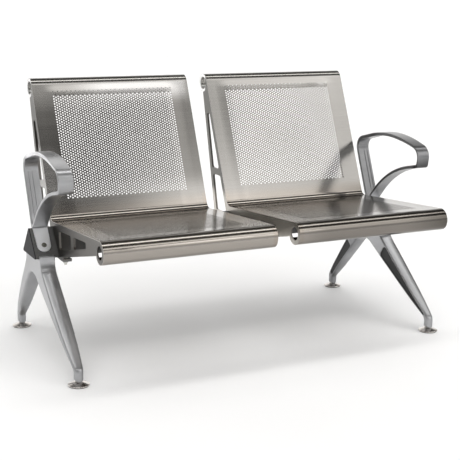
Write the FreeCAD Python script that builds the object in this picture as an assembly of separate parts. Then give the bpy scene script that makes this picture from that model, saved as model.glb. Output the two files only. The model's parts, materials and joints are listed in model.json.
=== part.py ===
import FreeCAD, Part
import math
import os

# Beam seating for two: two bent sheet seats on a triangular beam, with cast legs and arm loops.
# Millimetres. +X runs along the beam, to the right as seen from the front, +Y to the rear, +Z up.
# The origin is on the floor, at the middle of the whole bench.

# Seats
seat_width = 505.0
seat_gap = 69.0
sheet_thickness = 1.5
front_roll_radius = 32.0
top_roll_radius = 29.0
seat_depth = 430.0
seat_drop_angle = 4.2
back_length = 417.0
back_recline = 23.2
bend_radius = 24.0
front_curl_end = 326.0
top_curl_end = -68.0

# Openings of each seat sheet, a plain grid that stands for the fine perforation
openings_across = 12
openings_along = 10
opening_share = 0.65
opening_side_margin = 58.6
seat_opening_rear_margin = 61.0
seat_opening_front_margin = 39.0
back_opening_low_margin = 61.0
back_opening_top_margin = 18.0

# Beam
beam_base_width = 134.6
beam_height = 81.5
beam_base_height = 289.5
beam_wall = 2.5
beam_corner_radius = 3.5
least_corner_radius = 0.5
beam_setback = 340.8
beam_overhang = 33.0
seat_bend_setback = 6.2
seat_bend_rise = 12.4

# Beam end caps
cap_face_thickness = 3.0
cap_plug_wall = 2.0
cap_plug_clearance = 0.3
cap_plug_to_plates = 4.0

# Side brackets of each seat
plate_thickness = 3.0
flange_depth = 12.0
flange_thickness = 2.5
rear_flange_foot_rise = 30.0
rear_flange_head_gap = 8.0
front_ring_bore = 38.0
top_ring_bore = 40.0
front_rib = 18.0
rear_rib = 16.0
seat_top_rib = 20.0
seat_lower_rib = 20.0
neck_reach = 42.0
neck_drop = 17.0
neck_radius = 14.0
rear_foot = 21.0
bridge_above_seat = 97.0
bridge_thickness = 20.0
lower_slot_below_apex = 13.0
upper_slot_below_ring = 93.0
slot_corner = 8.0
window_corner = 7.0
window_rim = 2.0
window_rim_depth = 6.0
front_window_start = 112.0
window_bar = 25.0
window_to_beam = 2.0
front_window_length = 108.0

# Clamps that hold the seats to the beam
front_pad_length = 36.0
rear_pad_length = 28.0
pad_thickness = 3.0
clamp_width = 26.0
clamp_thickness = 5.0
clamp_bolt_inset = 17.0
clamp_bolt_from_plate = 13.0

# Bolts, nuts and washers of the clamps
clamp_bolt_diameter = 8.0
clamp_bolt_head_width = 13.0
clamp_bolt_head_height = 5.3
clamp_nut_height = 6.5
clamp_bolt_tip = 6.0
clamp_washer_diameter = 16.0
washer_thickness = 1.6
bolt_hole_clearance = 0.2
nut_thread_clearance = 0.05

# Legs, with the ankle just above each foot and the shoulder just below the beam
leg_offset = 37.5
foot_spacing = 580.0
leg_width = 45.0
stub_width = 25.0
stub_height = 34.0
leg_lip_height = 9.0
leg_lip_thickness = 8.0
arch_radius = 72.0
arch_corner_setback = 22.0
arch_corner_drop = 40.0
ankle_outer_radius = 26.0
ankle_inner_radius = 16.0
front_ankle_dip = 3.0
rear_ankle_dip = 7.0
front_shoulder_reach = 4.0
front_shoulder_drop = 27.0
front_shoulder_radius = 45.0
rear_shoulder_reach = 2.0
rear_shoulder_drop = 24.0
rear_shoulder_radius = 30.0
ankle_flare_radius = 30.0
calf_rise = 60.0
calf_narrowing = 2.5
calf_radius = 80.0
thigh_drop = 100.0
thigh_radius = 120.0
leg_pocket_depth = 4.0
leg_pocket_rim = 6.0
leg_pocket_foot_gap = 20.0
leg_pocket_head_gap = 72.0
leg_pocket_corner = 6.0

# Leg bolts and the plates that they screw into
leg_bolt_diameter = 10.0
leg_bolt_head_diameter = 16.0
leg_bolt_head_height = 10.0
leg_bolt_grip = 26.0
leg_bolt_spread = 60.0
leg_bolt_socket_width = 8.0
leg_bolt_tip = 2.0
leg_plate_thickness = 8.0
leg_plate_width = 32.0
leg_plate_length = 96.0
head_pocket_clearance = 1.0
head_pocket_reach = 80.0

# Levelling glides
glide_radius = 30.0
glide_dome_height = 9.0
glide_dome_top_radius = 10.0
glide_dome_crown = 1.4
glide_rim_height = 3.0
sole_thickness = 2.0
sole_inset = 2.0
stem_diameter = 10.0
stem_reach = 30.0
stem_socket_depth = 6.0
stem_clearance = 0.08
glide_stop_gap = 0.3
insert_wall = 3.0
insert_length = 20.0
stem_bore_clearance = 1.0
stem_end_gap = 1.0

# Arms, with the places of the loop's corners counted from the apex of the beam
arm_width = 44.0
arm_height_over_beam = 241.5
arm_bow_reach = 90.0
arm_bow_radius = 320.0
arm_crest_setback = 93.0
arm_crest_drop = 47.0
arm_crest_radius = 40.0
arm_nose_reach = 279.0
arm_nose_top_drop = 39.7
arm_nose_top_radius = 32.0
arm_nose_lean = 10.5
arm_nose_bottom_drop = 100.5
arm_nose_bottom_radius = 12.0
arm_belly_reach = 103.8
arm_belly_drop = 132.0
arm_belly_radius = 353.0
arm_foot_reach = 11.8
arm_foot_rise = 2.5
arm_root_rise = 5.5
arm_root_radius = 4.0
arm_root_drop = 10.0

# Thickness of the arm's loop at its corners
arm_upright_thickness = 9.0
arm_crest_thickness = 12.0
arm_bow_thickness = 10.0
arm_nose_thickness = 5.5
arm_nose_floor_thickness = 11.0
arm_belly_thickness = 6.5
arm_least_inner_radius = 6.0
arm_edge_radius = 2.0

# Saddle of each arm, with its two tongues down the faces of the beam
saddle_thickness = 6.0
tongue_length = 83.5
tongue_end_width = 40.5

# Grooves down the front of each arm's upright
groove_width = 3.0
groove_depth = 1.5
groove_margin = 26.0
groove_insets = (10.5, 22.0)

# Arm screws and the plates inside the beam that take them
arm_screw_diameter = 8.0
arm_screw_head_diameter = 15.0
arm_screw_head_height = 4.4
arm_screw_socket_width = 5.0
arm_screw_socket_depth = 3.0
arm_screw_length = 18.0
arm_plate_thickness = 6.0
arm_plate_length = 26.0
arm_plate_width = 30.0


def vec(x, y, z):
    return FreeCAD.Vector(x, y, z)


X_AXIS = vec(1, 0, 0)
Y_AXIS = vec(0, 1, 0)
Z_AXIS = vec(0, 0, 1)


def rounded_wire(corners, place):
    """Closed wire through flat corners (u, v, radius), each rounded by a tangent arc."""
    count = len(corners)
    starts = []
    middles = []
    ends = []
    for index in range(count):
        u, v, radius = corners[index]
        u_before, v_before = corners[index - 1][:2]
        u_after, v_after = corners[(index + 1) % count][:2]
        length_in = math.hypot(u_before - u, v_before - v)
        length_out = math.hypot(u_after - u, v_after - v)
        in_u, in_v = (u_before - u) / length_in, (v_before - v) / length_in
        out_u, out_v = (u_after - u) / length_out, (v_after - v) / length_out
        half_angle = math.acos(max(-1.0, min(1.0, in_u * out_u + in_v * out_v))) / 2
        if radius <= 0 or half_angle > math.radians(89.5):
            starts.append((u, v))
            middles.append(None)
            ends.append((u, v))
            continue
        tangent = radius / math.tan(half_angle)
        bisector_u, bisector_v = in_u + out_u, in_v + out_v
        bisector = math.hypot(bisector_u, bisector_v)
        reach = radius / math.sin(half_angle) - radius
        starts.append((u + in_u * tangent, v + in_v * tangent))
        middles.append((u + bisector_u / bisector * reach, v + bisector_v / bisector * reach))
        ends.append((u + out_u * tangent, v + out_v * tangent))
    edges = []
    for index in range(count):
        if middles[index]:
            arc = Part.Arc(place(*starts[index]), place(*middles[index]), place(*ends[index]))
            edges.append(arc.toShape())
        begin = place(*ends[index])
        finish = place(*starts[(index + 1) % count])
        if begin.distanceToPoint(finish) > 1e-6:
            edges.append(Part.LineSegment(begin, finish).toShape())
    return Part.Wire(Part.__sortEdges__(edges))


def side_solid(corners, x_start, x_end):
    """Solid with a rounded side outline (y, z, radius), from x_start to x_end."""
    wire = rounded_wire(corners, lambda y, z: vec(x_start, y, z))
    return Part.Face(wire).extrude(vec(x_end - x_start, 0, 0))


def front_solid(corners, y_start, y_end):
    """Solid with a rounded front outline (x, z, radius), from y_start to y_end."""
    wire = rounded_wire(corners, lambda x, z: vec(x, y_start, z))
    return Part.Face(wire).extrude(vec(0, y_end - y_start, 0))


def rod(radius, start, end):
    """Round bar between two points."""
    return Part.makeCylinder(radius, (end - start).Length, start, end - start)


def hexagon(width, start, end):
    """Six-sided bar between two points, measured across its flats."""
    corner = width / math.sqrt(3)
    axis = (end - start).normalize()
    across = axis.cross(X_AXIS if abs(axis.x) < 0.9 else Y_AXIS).normalize()
    other = axis.cross(across)
    points = []
    for step in range(7):
        angle = math.radians(60 * step)
        points.append(start + across * (corner * math.cos(angle)) + other * (corner * math.sin(angle)))
    return Part.Face(Part.makePolygon(points)).extrude(end - start)


def mirror_x(shape):
    return shape.mirror(vec(0, 0, 0), X_AXIS)


# Places in the side view, with y counted from the front feet.
# Cutting tools run past what they cut by the overrun.
overrun = 1.0


def line_meet(y1, z1, dy1, dz1, y2, z2, dy2, dz2):
    """Point where two side-view lines cross."""
    cross = dy1 * dz2 - dz1 * dy2
    along = ((y2 - y1) * dz2 - (z2 - z1) * dy2) / cross
    return y1 + dy1 * along, z1 + dz1 * along


beam_apex = (beam_setback, beam_base_height + beam_height)
beam_front = beam_setback - beam_base_width / 2
beam_rear = beam_setback + beam_base_width / 2
slant_length = math.hypot(beam_base_width / 2, beam_height)
slant_y = beam_base_width / 2 / slant_length
slant_z = beam_height / slant_length

seat_bend = (beam_setback + seat_bend_setback, beam_apex[1] + seat_bend_rise)
seat_angle = math.radians(seat_drop_angle)
back_angle = math.radians(back_recline)
seat_dir = (-math.cos(seat_angle), math.sin(seat_angle))
seat_up = (math.sin(seat_angle), math.cos(seat_angle))
back_dir = (math.sin(back_angle), math.cos(back_angle))
back_rear = (math.cos(back_angle), -math.sin(back_angle))


def on_seat(distance, depth):
    """Point at a distance forward of the bend and a depth below the seat face."""
    return (seat_bend[0] + seat_dir[0] * distance - seat_up[0] * depth,
            seat_bend[1] + seat_dir[1] * distance - seat_up[1] * depth)


def on_back(distance, depth):
    """Point at a distance up the back from the bend and a depth behind its face."""
    return (seat_bend[0] + back_dir[0] * distance + back_rear[0] * depth,
            seat_bend[1] + back_dir[1] * distance + back_rear[1] * depth)


front_roll = on_seat(seat_depth, front_roll_radius)
top_roll = on_back(back_length, top_roll_radius)

front_extent = front_roll[0] - front_roll_radius
rear_extent = foot_spacing + glide_radius
depth_shift = -(front_extent + rear_extent) / 2

seat_inner_side = seat_gap / 2
seat_outer_side = seat_inner_side + seat_width
leg_plane = seat_outer_side + leg_offset
beam_end = leg_plane + beam_overhang
inner_plate_width = max(leg_plate_width, arm_plate_width)
cap_plug_depth = beam_overhang - cap_face_thickness - cap_plug_to_plates - inner_plate_width / 2


def around(centre, radius, degrees):
    angle = math.radians(degrees)
    return centre[0] + radius * math.cos(angle), centre[1] + radius * math.sin(angle)


def sheet_section(x):
    """Cross-section of one seat sheet: curl, seat, bend, back and curl."""
    def at(point):
        return vec(x, point[0], point[1])

    def arc(start, middle, end):
        return Part.Arc(at(start), at(middle), at(end)).toShape()

    def line(start, end):
        return Part.LineSegment(at(start), at(end)).toShape()

    seat_normal = 90 - seat_drop_angle
    back_normal = 180 - back_recline
    turn = back_normal - seat_normal
    set_back = bend_radius * math.tan(math.radians(turn) / 2)
    bend_centre = on_seat(set_back, -bend_radius)
    front_mid = (seat_normal + front_curl_end) / 2
    top_mid = (back_normal + top_curl_end) / 2
    bend_mid = (seat_normal + back_normal) / 2 - 180
    edges = []
    for depth in (0.0, sheet_thickness):
        front_radius = front_roll_radius - depth
        top_radius = top_roll_radius - depth
        bend = bend_radius + depth
        edges.append(arc(around(front_roll, front_radius, front_curl_end),
                         around(front_roll, front_radius, front_mid),
                         on_seat(seat_depth, depth)))
        edges.append(line(on_seat(seat_depth, depth), on_seat(set_back, depth)))
        edges.append(arc(on_seat(set_back, depth),
                         around(bend_centre, bend, bend_mid),
                         on_back(set_back, depth)))
        edges.append(line(on_back(set_back, depth), on_back(back_length, depth)))
        edges.append(arc(on_back(back_length, depth),
                         around(top_roll, top_radius, top_mid),
                         around(top_roll, top_radius, top_curl_end)))
    edges.append(line(around(front_roll, front_roll_radius, front_curl_end),
                      around(front_roll, front_roll_radius - sheet_thickness, front_curl_end)))
    edges.append(line(around(top_roll, top_roll_radius, top_curl_end),
                      around(top_roll, top_roll_radius - sheet_thickness, top_curl_end)))
    return Part.Face(Part.Wire(Part.__sortEdges__(edges)))


def sheet_openings(place, start, end):
    """Tools for a grid of round openings on the seat or the back, from start to end."""
    step_across = (seat_width - 2 * opening_side_margin) / openings_across
    step_along = (end - start) / openings_along
    radius = opening_share * min(step_across, step_along) / 2
    tools = []
    for row in range(openings_along):
        distance = start + (row + 0.5) * step_along
        above = place(distance, -overrun)
        below = place(distance, sheet_thickness + overrun)
        for column in range(openings_across):
            x = seat_inner_side + opening_side_margin + (column + 0.5) * step_across
            tools.append(rod(radius, vec(x, *above), vec(x, *below)))
    return tools


def make_sheet():
    """Right seat sheet, from its inner to its outer side, with its openings."""
    sheet = sheet_section(seat_inner_side).extrude(vec(seat_width, 0, 0))
    seat_end = seat_depth - seat_opening_front_margin
    back_end = back_length - back_opening_top_margin
    tools = sheet_openings(on_seat, seat_opening_rear_margin, seat_end)
    tools += sheet_openings(on_back, back_opening_low_margin, back_end)
    return sheet.cut(tools)


# Bracket outline lines
rear_foot_point = (beam_rear + rear_foot, beam_base_height)
ring_radius = top_roll_radius - sheet_thickness
ring_bottom = around(top_roll, ring_radius, -90)
rear_length = math.hypot(ring_bottom[0] - rear_foot_point[0], ring_bottom[1] - rear_foot_point[1])
rear_dir = ((ring_bottom[0] - rear_foot_point[0]) / rear_length,
            (ring_bottom[1] - rear_foot_point[1]) / rear_length)
neck = (front_roll[0] + neck_reach, front_roll[1] - neck_drop)
pad_front = beam_front - front_pad_length
pad_rear = beam_rear + rear_pad_length
lower_length = math.hypot(beam_front - neck[0], neck[1] - beam_base_height)
lower_dir = ((beam_front - neck[0]) / lower_length, (beam_base_height - neck[1]) / lower_length)


def rear_line_at(z, inset):
    """Side-view y on the rear edge at height z, moved in by an inset."""
    return rear_foot_point[0] + (z - rear_foot_point[1]) * rear_dir[0] / rear_dir[1] - inset / rear_dir[1]


def back_line_at(z, depth):
    """Side-view y at height z, a depth behind the face of the back."""
    return seat_bend[0] + (z - seat_bend[1]) * back_dir[0] / back_dir[1] + depth / back_dir[1]


def lower_line_at(y, rise):
    """Side-view z on the bracket's lower edge at y, raised square to it."""
    return neck[1] + (y - neck[0]) * lower_dir[1] / lower_dir[0] + rise / lower_dir[0]


def seat_line_at(y, depth):
    """Side-view z at y, a depth below the face of the seat."""
    return seat_bend[1] + (y - seat_bend[0]) * seat_dir[1] / seat_dir[0] - depth / seat_up[1]


def slot_corners(z_low, z_high, radius):
    """Opening between the front rib and the rear rib of the back."""
    return [(back_line_at(z_low, front_rib), z_low, radius),
            (rear_line_at(z_low, rear_rib), z_low, radius),
            (rear_line_at(z_high, rear_rib), z_high, radius),
            (back_line_at(z_high, front_rib), z_high, radius)]


def window_corners(y_low, y_high, radius):
    """Opening between the upper rib and the lower rib under the seat."""
    return [(y_low, lower_line_at(y_low, seat_lower_rib), radius),
            (y_high, lower_line_at(y_high, seat_lower_rib), radius),
            (y_high, seat_line_at(y_high, seat_top_rib), radius),
            (y_low, seat_line_at(y_low, seat_top_rib), radius)]


def bracket_windows():
    """The two openings under the seat, front and rear."""
    front_start = front_roll[0] + front_window_start
    front_end = front_start + front_window_length
    rear_start = front_end + window_bar
    rear_end = beam_front - window_to_beam
    return [window_corners(front_start, front_end, window_corner),
            window_corners(rear_start, rear_end, window_corner)]


def bracket_slots():
    """The two openings behind the back, lower and upper."""
    bridge_middle = seat_bend[1] + bridge_above_seat
    lower_end = beam_apex[1] - lower_slot_below_apex
    upper_end = top_roll[1] - upper_slot_below_ring
    return [slot_corners(lower_end, bridge_middle - bridge_thickness / 2, slot_corner),
            slot_corners(bridge_middle + bridge_thickness / 2, upper_end, slot_corner)]


def make_bracket():
    """Stamped side bracket, flat against the inner side of the right seat."""
    x_face = seat_inner_side
    x_back = x_face + plate_thickness
    depth = sheet_thickness
    seat_under = on_seat(seat_depth, depth)
    bend_under = line_meet(*on_seat(0, depth), *seat_dir, *on_back(0, depth), *back_dir)
    back_behind = on_back(back_length, depth)
    outline = [(seat_under[0], seat_under[1], 0),
               (front_roll[0], front_roll[1], 0),
               (neck[0], neck[1], neck_radius),
               (pad_front, lower_line_at(pad_front, 0), 0),
               (pad_front, beam_base_height, 0),
               (beam_front, beam_base_height, 0),
               (beam_apex[0], beam_apex[1], beam_corner_radius),
               (beam_rear, beam_base_height, 0),
               (rear_foot_point[0], rear_foot_point[1], 0),
               (ring_bottom[0], ring_bottom[1], 0),
               (top_roll[0], top_roll[1], 0),
               (back_behind[0], back_behind[1], 0),
               (bend_under[0], bend_under[1], bend_radius + depth)]
    plate = side_solid(outline, x_face, x_back)
    for centre, radius in ((front_roll, front_roll_radius), (top_roll, top_roll_radius)):
        start = vec(x_face, centre[0], centre[1])
        plate = plate.fuse(Part.makeCylinder(radius - depth, plate_thickness, start, X_AXIS))
    plate = add_flanges(plate, x_face)
    for corners in bracket_windows() + bracket_slots():
        rim = rounded_wire(corners, lambda y, z: vec(x_face, y, z)).makeOffset2D(window_rim)
        plate = plate.fuse(Part.Face(rim).extrude(vec(window_rim_depth, 0, 0)))
        plate = plate.cut(side_solid(corners, x_face - overrun, x_face + window_rim_depth + overrun))
    for centre, bore in ((front_roll, front_ring_bore), (top_roll, top_ring_bore)):
        start = vec(x_face - overrun, centre[0], centre[1])
        plate = plate.cut(Part.makeCylinder(bore / 2, plate_thickness + 2 * overrun, start, X_AXIS))
    x = x_face + clamp_bolt_from_plate
    radius = clamp_bolt_diameter / 2 + bolt_hole_clearance
    pad_top = beam_base_height + pad_thickness
    for y in clamp_bolt_places():
        hole = rod(radius, vec(x, y, beam_base_height - overrun), vec(x, y, pad_top + overrun))
        plate = plate.cut(hole)
    return plate.removeSplitter()


def clamp_bolt_places():
    return beam_front - clamp_bolt_inset, beam_rear + clamp_bolt_inset


def add_flanges(plate, x_face):
    """Turned-in edges: below the seat, behind the back, and the two pads on the clamp."""
    lower = [(neck[0], neck[1], 0),
             (pad_front, lower_line_at(pad_front, 0), 0),
             (pad_front, lower_line_at(pad_front, flange_thickness), 0),
             (neck[0], lower_line_at(neck[0], flange_thickness), 0)]
    flange_start = beam_base_height + rear_flange_foot_rise
    flange_end = ring_bottom[1] - rear_flange_head_gap
    rear = [(rear_line_at(flange_start, 0), flange_start, 0),
            (rear_line_at(flange_end, 0), flange_end, 0),
            (rear_line_at(flange_end, flange_thickness), flange_end, 0),
            (rear_line_at(flange_start, flange_thickness), flange_start, 0)]
    for corners in (lower, rear):
        plate = plate.fuse(side_solid(corners, x_face, x_face + flange_depth))
    pads = []
    for y, length in ((pad_front, front_pad_length), (beam_rear, rear_pad_length)):
        pads.append(Part.makeBox(clamp_width, length, pad_thickness, vec(x_face, y, beam_base_height)))
    return plate.fuse(pads)


def bracket_set():
    """The four brackets by name."""
    inner = make_bracket()
    middle = seat_inner_side + seat_width / 2
    outer = inner.mirror(vec(middle, 0, 0), X_AXIS)
    return {"right_seat_inner_bracket": inner,
            "right_seat_outer_bracket": outer,
            "left_seat_inner_bracket": mirror_x(inner),
            "left_seat_outer_bracket": mirror_x(outer)}


def clamp_x_places():
    """Bolt lines of the four brackets, with the side that each plate stands on."""
    inner = seat_inner_side + clamp_bolt_from_plate
    outer = seat_outer_side - clamp_bolt_from_plate
    return {"right_seat_inner": inner, "right_seat_outer": outer,
            "left_seat_inner": -inner, "left_seat_outer": -outer}


def make_clamp(x):
    """Flat bar under the beam, bolted to the two pads of a bracket."""
    length = pad_rear - pad_front
    bar = Part.makeBox(clamp_width, length, clamp_thickness,
                       vec(x - clamp_width / 2, pad_front, beam_base_height - clamp_thickness))
    radius = clamp_bolt_diameter / 2 + bolt_hole_clearance
    bar_bottom = beam_base_height - clamp_thickness
    for y in clamp_bolt_places():
        bar = bar.cut(rod(radius, vec(x, y, bar_bottom - overrun), vec(x, y, beam_base_height + overrun)))
    return bar


def clamp_fasteners():
    """Bolts, washers and nuts of the clamps, as three groups."""
    bolts = []
    washers = []
    nuts = []
    radius = clamp_bolt_diameter / 2
    pad_top = beam_base_height + pad_thickness
    seat = pad_top + washer_thickness
    nut_top = beam_base_height - clamp_thickness
    nut_bottom = nut_top - clamp_nut_height
    for x in clamp_x_places().values():
        for y in clamp_bolt_places():
            head = hexagon(clamp_bolt_head_width, vec(x, y, seat), vec(x, y, seat + clamp_bolt_head_height))
            shank = rod(radius, vec(x, y, nut_bottom - clamp_bolt_tip), vec(x, y, seat))
            bolts.append(head.fuse(shank))
            washer = rod(clamp_washer_diameter / 2, vec(x, y, pad_top), vec(x, y, seat))
            hole = rod(radius + bolt_hole_clearance, vec(x, y, pad_top - overrun), vec(x, y, seat + overrun))
            washers.append(washer.cut(hole))
            nut = hexagon(clamp_bolt_head_width, vec(x, y, nut_bottom), vec(x, y, nut_top))
            bore_radius = radius + nut_thread_clearance
            bore = rod(bore_radius, vec(x, y, nut_bottom - overrun), vec(x, y, nut_top + overrun))
            nuts.append(nut.cut(bore))
    return {"clamp_bolts": bolts, "clamp_washers": washers, "clamp_nuts": nuts}


def beam_corners(inset):
    """Triangle of the beam, moved in from its outside by an inset."""
    side = inset * (1 + slant_y) / slant_z
    low = beam_base_height + inset
    top = beam_apex[1] - inset / slant_y
    radius = max(beam_corner_radius - inset, least_corner_radius)
    return [(beam_front + side, low, radius),
            (beam_rear - side, low, radius),
            (beam_setback, top, radius)]


def make_beam():
    """Triangular tube, apex up, with the holes for the leg bolts and the arm screws."""
    start = -beam_end + cap_face_thickness
    end = beam_end - cap_face_thickness
    inside = side_solid(beam_corners(beam_wall), start - overrun, end + overrun)
    tube = side_solid(beam_corners(0), start, end).cut(inside)
    holes = []
    leg_hole = leg_bolt_diameter / 2 + bolt_hole_clearance
    arm_hole = arm_screw_diameter / 2 + bolt_hole_clearance
    floor_top = beam_base_height + beam_wall
    for side in (-1, 1):
        x = side * leg_plane
        for y in leg_bolt_places():
            holes.append(rod(leg_hole, vec(x, y, beam_base_height - overrun), vec(x, y, floor_top + overrun)))
        for face in (-1, 1):
            point, out = tongue_hole(side, face)
            holes.append(rod(arm_hole, point - out * (beam_wall + overrun), point + out * overrun))
    return tube.cut(holes)


def make_end_cap():
    """Plastic cap at the right end of the beam: a face with a hollow plug behind it."""
    face_start = beam_end - cap_face_thickness
    plug_start = face_start - cap_plug_depth
    plug_inset = beam_wall + cap_plug_clearance
    face = side_solid(beam_corners(0), face_start, beam_end)
    plug = side_solid(beam_corners(plug_inset), plug_start, face_start)
    hollow = side_solid(beam_corners(plug_inset + cap_plug_wall), plug_start - overrun, face_start)
    return face.fuse(plug.cut(hollow))


def leg_bolt_places():
    return beam_setback - leg_bolt_spread / 2, beam_setback + leg_bolt_spread / 2


stub_bottom = sole_thickness + glide_dome_height + glide_stop_gap
stub_top = stub_bottom + stub_height


# Corners of the leg's two limbs in the side view
half_stub = stub_width / 2
front_ankle = (-half_stub, stub_top)
front_ankle_inner = (half_stub, stub_top - front_ankle_dip)
rear_ankle = (foot_spacing + half_stub, stub_top)
rear_ankle_inner = (foot_spacing - half_stub, stub_top - rear_ankle_dip)
head_front = beam_front - leg_lip_thickness
head_rear = beam_rear + leg_lip_thickness
front_shoulder = (head_front - front_shoulder_reach, beam_base_height - front_shoulder_drop)
rear_shoulder = (head_rear + rear_shoulder_reach, beam_base_height - rear_shoulder_drop)
arch_corner = (beam_setback + arch_corner_setback, beam_base_height - arch_corner_drop)


def leg_side_corners():
    """Side outline of a leg: two limbs, the arch between them and the seat for the beam."""
    lip_top = beam_base_height + leg_lip_height
    lip_lean = leg_lip_height * slant_y / slant_z
    return [(-half_stub, stub_bottom, 0),
            (half_stub, stub_bottom, 0),
            (*front_ankle_inner, ankle_inner_radius),
            (*arch_corner, arch_radius),
            (*rear_ankle_inner, ankle_inner_radius),
            (foot_spacing - half_stub, stub_bottom, 0),
            (foot_spacing + half_stub, stub_bottom, 0),
            (*rear_ankle, ankle_outer_radius),
            (*rear_shoulder, rear_shoulder_radius),
            (head_rear, lip_top, 0),
            (beam_rear - lip_lean, lip_top, 0),
            (beam_rear, beam_base_height, 0),
            (beam_front, beam_base_height, 0),
            (beam_front + lip_lean, lip_top, 0),
            (head_front, lip_top, 0),
            (*front_shoulder, front_shoulder_radius),
            (*front_ankle, ankle_outer_radius)]


def leg_front_corners():
    """Front outline of a leg: narrow at the feet, full width from the thigh up."""
    half = leg_width / 2
    calf = (half - calf_narrowing, stub_top + calf_rise, calf_radius)
    thigh = (half, beam_base_height - thigh_drop, thigh_radius)
    right = [(half_stub, stub_bottom, 0),
             (half_stub, stub_top, ankle_flare_radius),
             calf,
             thigh,
             (half, beam_base_height + leg_lip_height, 0)]
    left = [(-x, z, radius) for x, z, radius in reversed(right)]
    return right + left


def limb_pocket(ankle, shoulder, ankle_inner, arch):
    """Recess of one limb, between its two edges and square to it at the ends."""
    outer = vec(0, *shoulder) - vec(0, *ankle)
    inner = vec(0, *arch) - vec(0, *ankle_inner)
    length = outer.Length
    outer.normalize()
    inner.normalize()
    middle = (outer + inner).normalize()
    square = middle.cross(X_AXIS)
    corners = []
    for distance, order in ((leg_pocket_foot_gap, 1), (length - leg_pocket_head_gap, -1)):
        base = vec(0, *ankle) + middle * distance
        pair = []
        for edge, start in ((outer, vec(0, *ankle)), (inner, vec(0, *ankle_inner))):
            y, z = line_meet(base.y, base.z, square.y, square.z, start.y, start.z, edge.y, edge.z)
            pair.append(vec(0, y, z))
        across = (pair[1] - pair[0]).normalize() * leg_pocket_rim
        ends = [pair[0] + across, pair[1] - across]
        corners += [(point.y, point.z, leg_pocket_corner) for point in ends[::order]]
    return corners


def make_leg():
    """Cast leg under the right end of the beam, with its recesses and bores."""
    body = side_solid(leg_side_corners(), -leg_width, leg_width)
    body = body.common(front_solid(leg_front_corners(), -foot_spacing, 2 * foot_spacing))
    inner_face = -leg_width / 2
    for limb in ((front_ankle, front_shoulder, front_ankle_inner, arch_corner),
                 (rear_ankle, rear_shoulder, rear_ankle_inner, arch_corner)):
        corners = limb_pocket(*limb)
        body = body.cut(side_solid(corners, inner_face - overrun, inner_face + leg_pocket_depth))
    body = leg_bores(body)
    body.translate(X_AXIS * leg_plane)
    return body


def slant_frame(face):
    """Direction down one slanted face of the beam, and its outward direction."""
    return vec(0, face * slant_y, -slant_z), vec(0, face * slant_z, slant_y)


def on_slant(face, drop, rise):
    """Side-view place down a slanted face from the apex, and out from it."""
    down, out = slant_frame(face)
    point = vec(0, *beam_apex) + down * drop + out * rise
    return point.y, point.z


def tongue_hole(side, face):
    """Centre of an arm screw on the beam's slanted face, and the outward direction."""
    point = vec(side * leg_plane, *on_slant(face, tongue_length - tongue_end_width / 2, 0))
    return point, slant_frame(face)[1]


def make_tongue(face):
    """Tongue of an arm down a slanted face, narrowing to a round end about its screw."""
    down, out = slant_frame(face)
    apex = vec(leg_plane, *beam_apex)
    start = apex - down * (saddle_thickness * slant_z / slant_y)
    centre = apex + down * (tongue_length - tongue_end_width / 2)
    wide = X_AXIS * (arm_width / 2)
    narrow = X_AXIS * (tongue_end_width / 2)
    points = [start - wide, centre - narrow, centre + narrow, start + wide]
    slab = Part.Face(Part.makePolygon(points + points[:1])).extrude(out * saddle_thickness)
    return slab.fuse(Part.makeCylinder(tongue_end_width / 2, saddle_thickness, centre, out))


def arm_outer_corners():
    """Outside of the arm loop in the side view."""
    y, z = beam_apex
    nose = y - arm_nose_reach
    top = z + arm_height_over_beam
    foot = y - arm_foot_reach
    return [(*on_slant(1, arm_root_drop, saddle_thickness), 0),
            (y + arm_crest_setback, top - arm_crest_drop, arm_crest_radius),
            (y - arm_bow_reach, top, arm_bow_radius),
            (nose, top - arm_nose_top_drop, arm_nose_top_radius),
            (nose + arm_nose_lean, top - arm_nose_bottom_drop, arm_nose_bottom_radius),
            (y - arm_belly_reach, top - arm_belly_drop, arm_belly_radius),
            (foot, z + arm_foot_rise, 0),
            (foot, z - arm_root_drop, 0)]


def inset_corner(before, corner, after, strip_in, strip_out):
    """Inner corner of a loop whose two strips at this corner have these thicknesses."""
    here = vec(0, *corner[:2])
    way_in = (here - vec(0, *before[:2])).normalize()
    way_out = (vec(0, *after[:2]) - here).normalize()
    start_in = here + X_AXIS.cross(way_in) * strip_in
    start_out = here + X_AXIS.cross(way_out) * strip_out
    y, z = line_meet(start_in.y, start_in.z, way_in.y, way_in.z,
                     start_out.y, start_out.z, way_out.y, way_out.z)
    outward = 1 if way_in.cross(way_out).x > 0 else -1
    radius = corner[2] - outward * (strip_in + strip_out) / 2
    return y, z, max(radius, arm_least_inner_radius)


def arm_inner_corners():
    """Inside of the arm loop in the side view, down to the root of the upright."""
    outer = arm_outer_corners()
    strips = [(arm_upright_thickness, arm_crest_thickness),
              (arm_bow_thickness, arm_bow_thickness),
              (arm_nose_thickness, arm_nose_thickness),
              (arm_nose_thickness, arm_nose_floor_thickness),
              (arm_belly_thickness, arm_belly_thickness)]
    inner = []
    for index, (strip_in, strip_out) in enumerate(strips):
        inner.append(inset_corner(*outer[index:index + 3], strip_in, strip_out))
    lean = (outer[1][0] - outer[0][0]) / (outer[1][1] - outer[0][1])
    root_z = beam_apex[1] + arm_root_rise
    root_y = inner[0][0] - (inner[0][1] - root_z) * lean
    return [(root_y, root_z, arm_root_radius)] + inner


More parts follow.
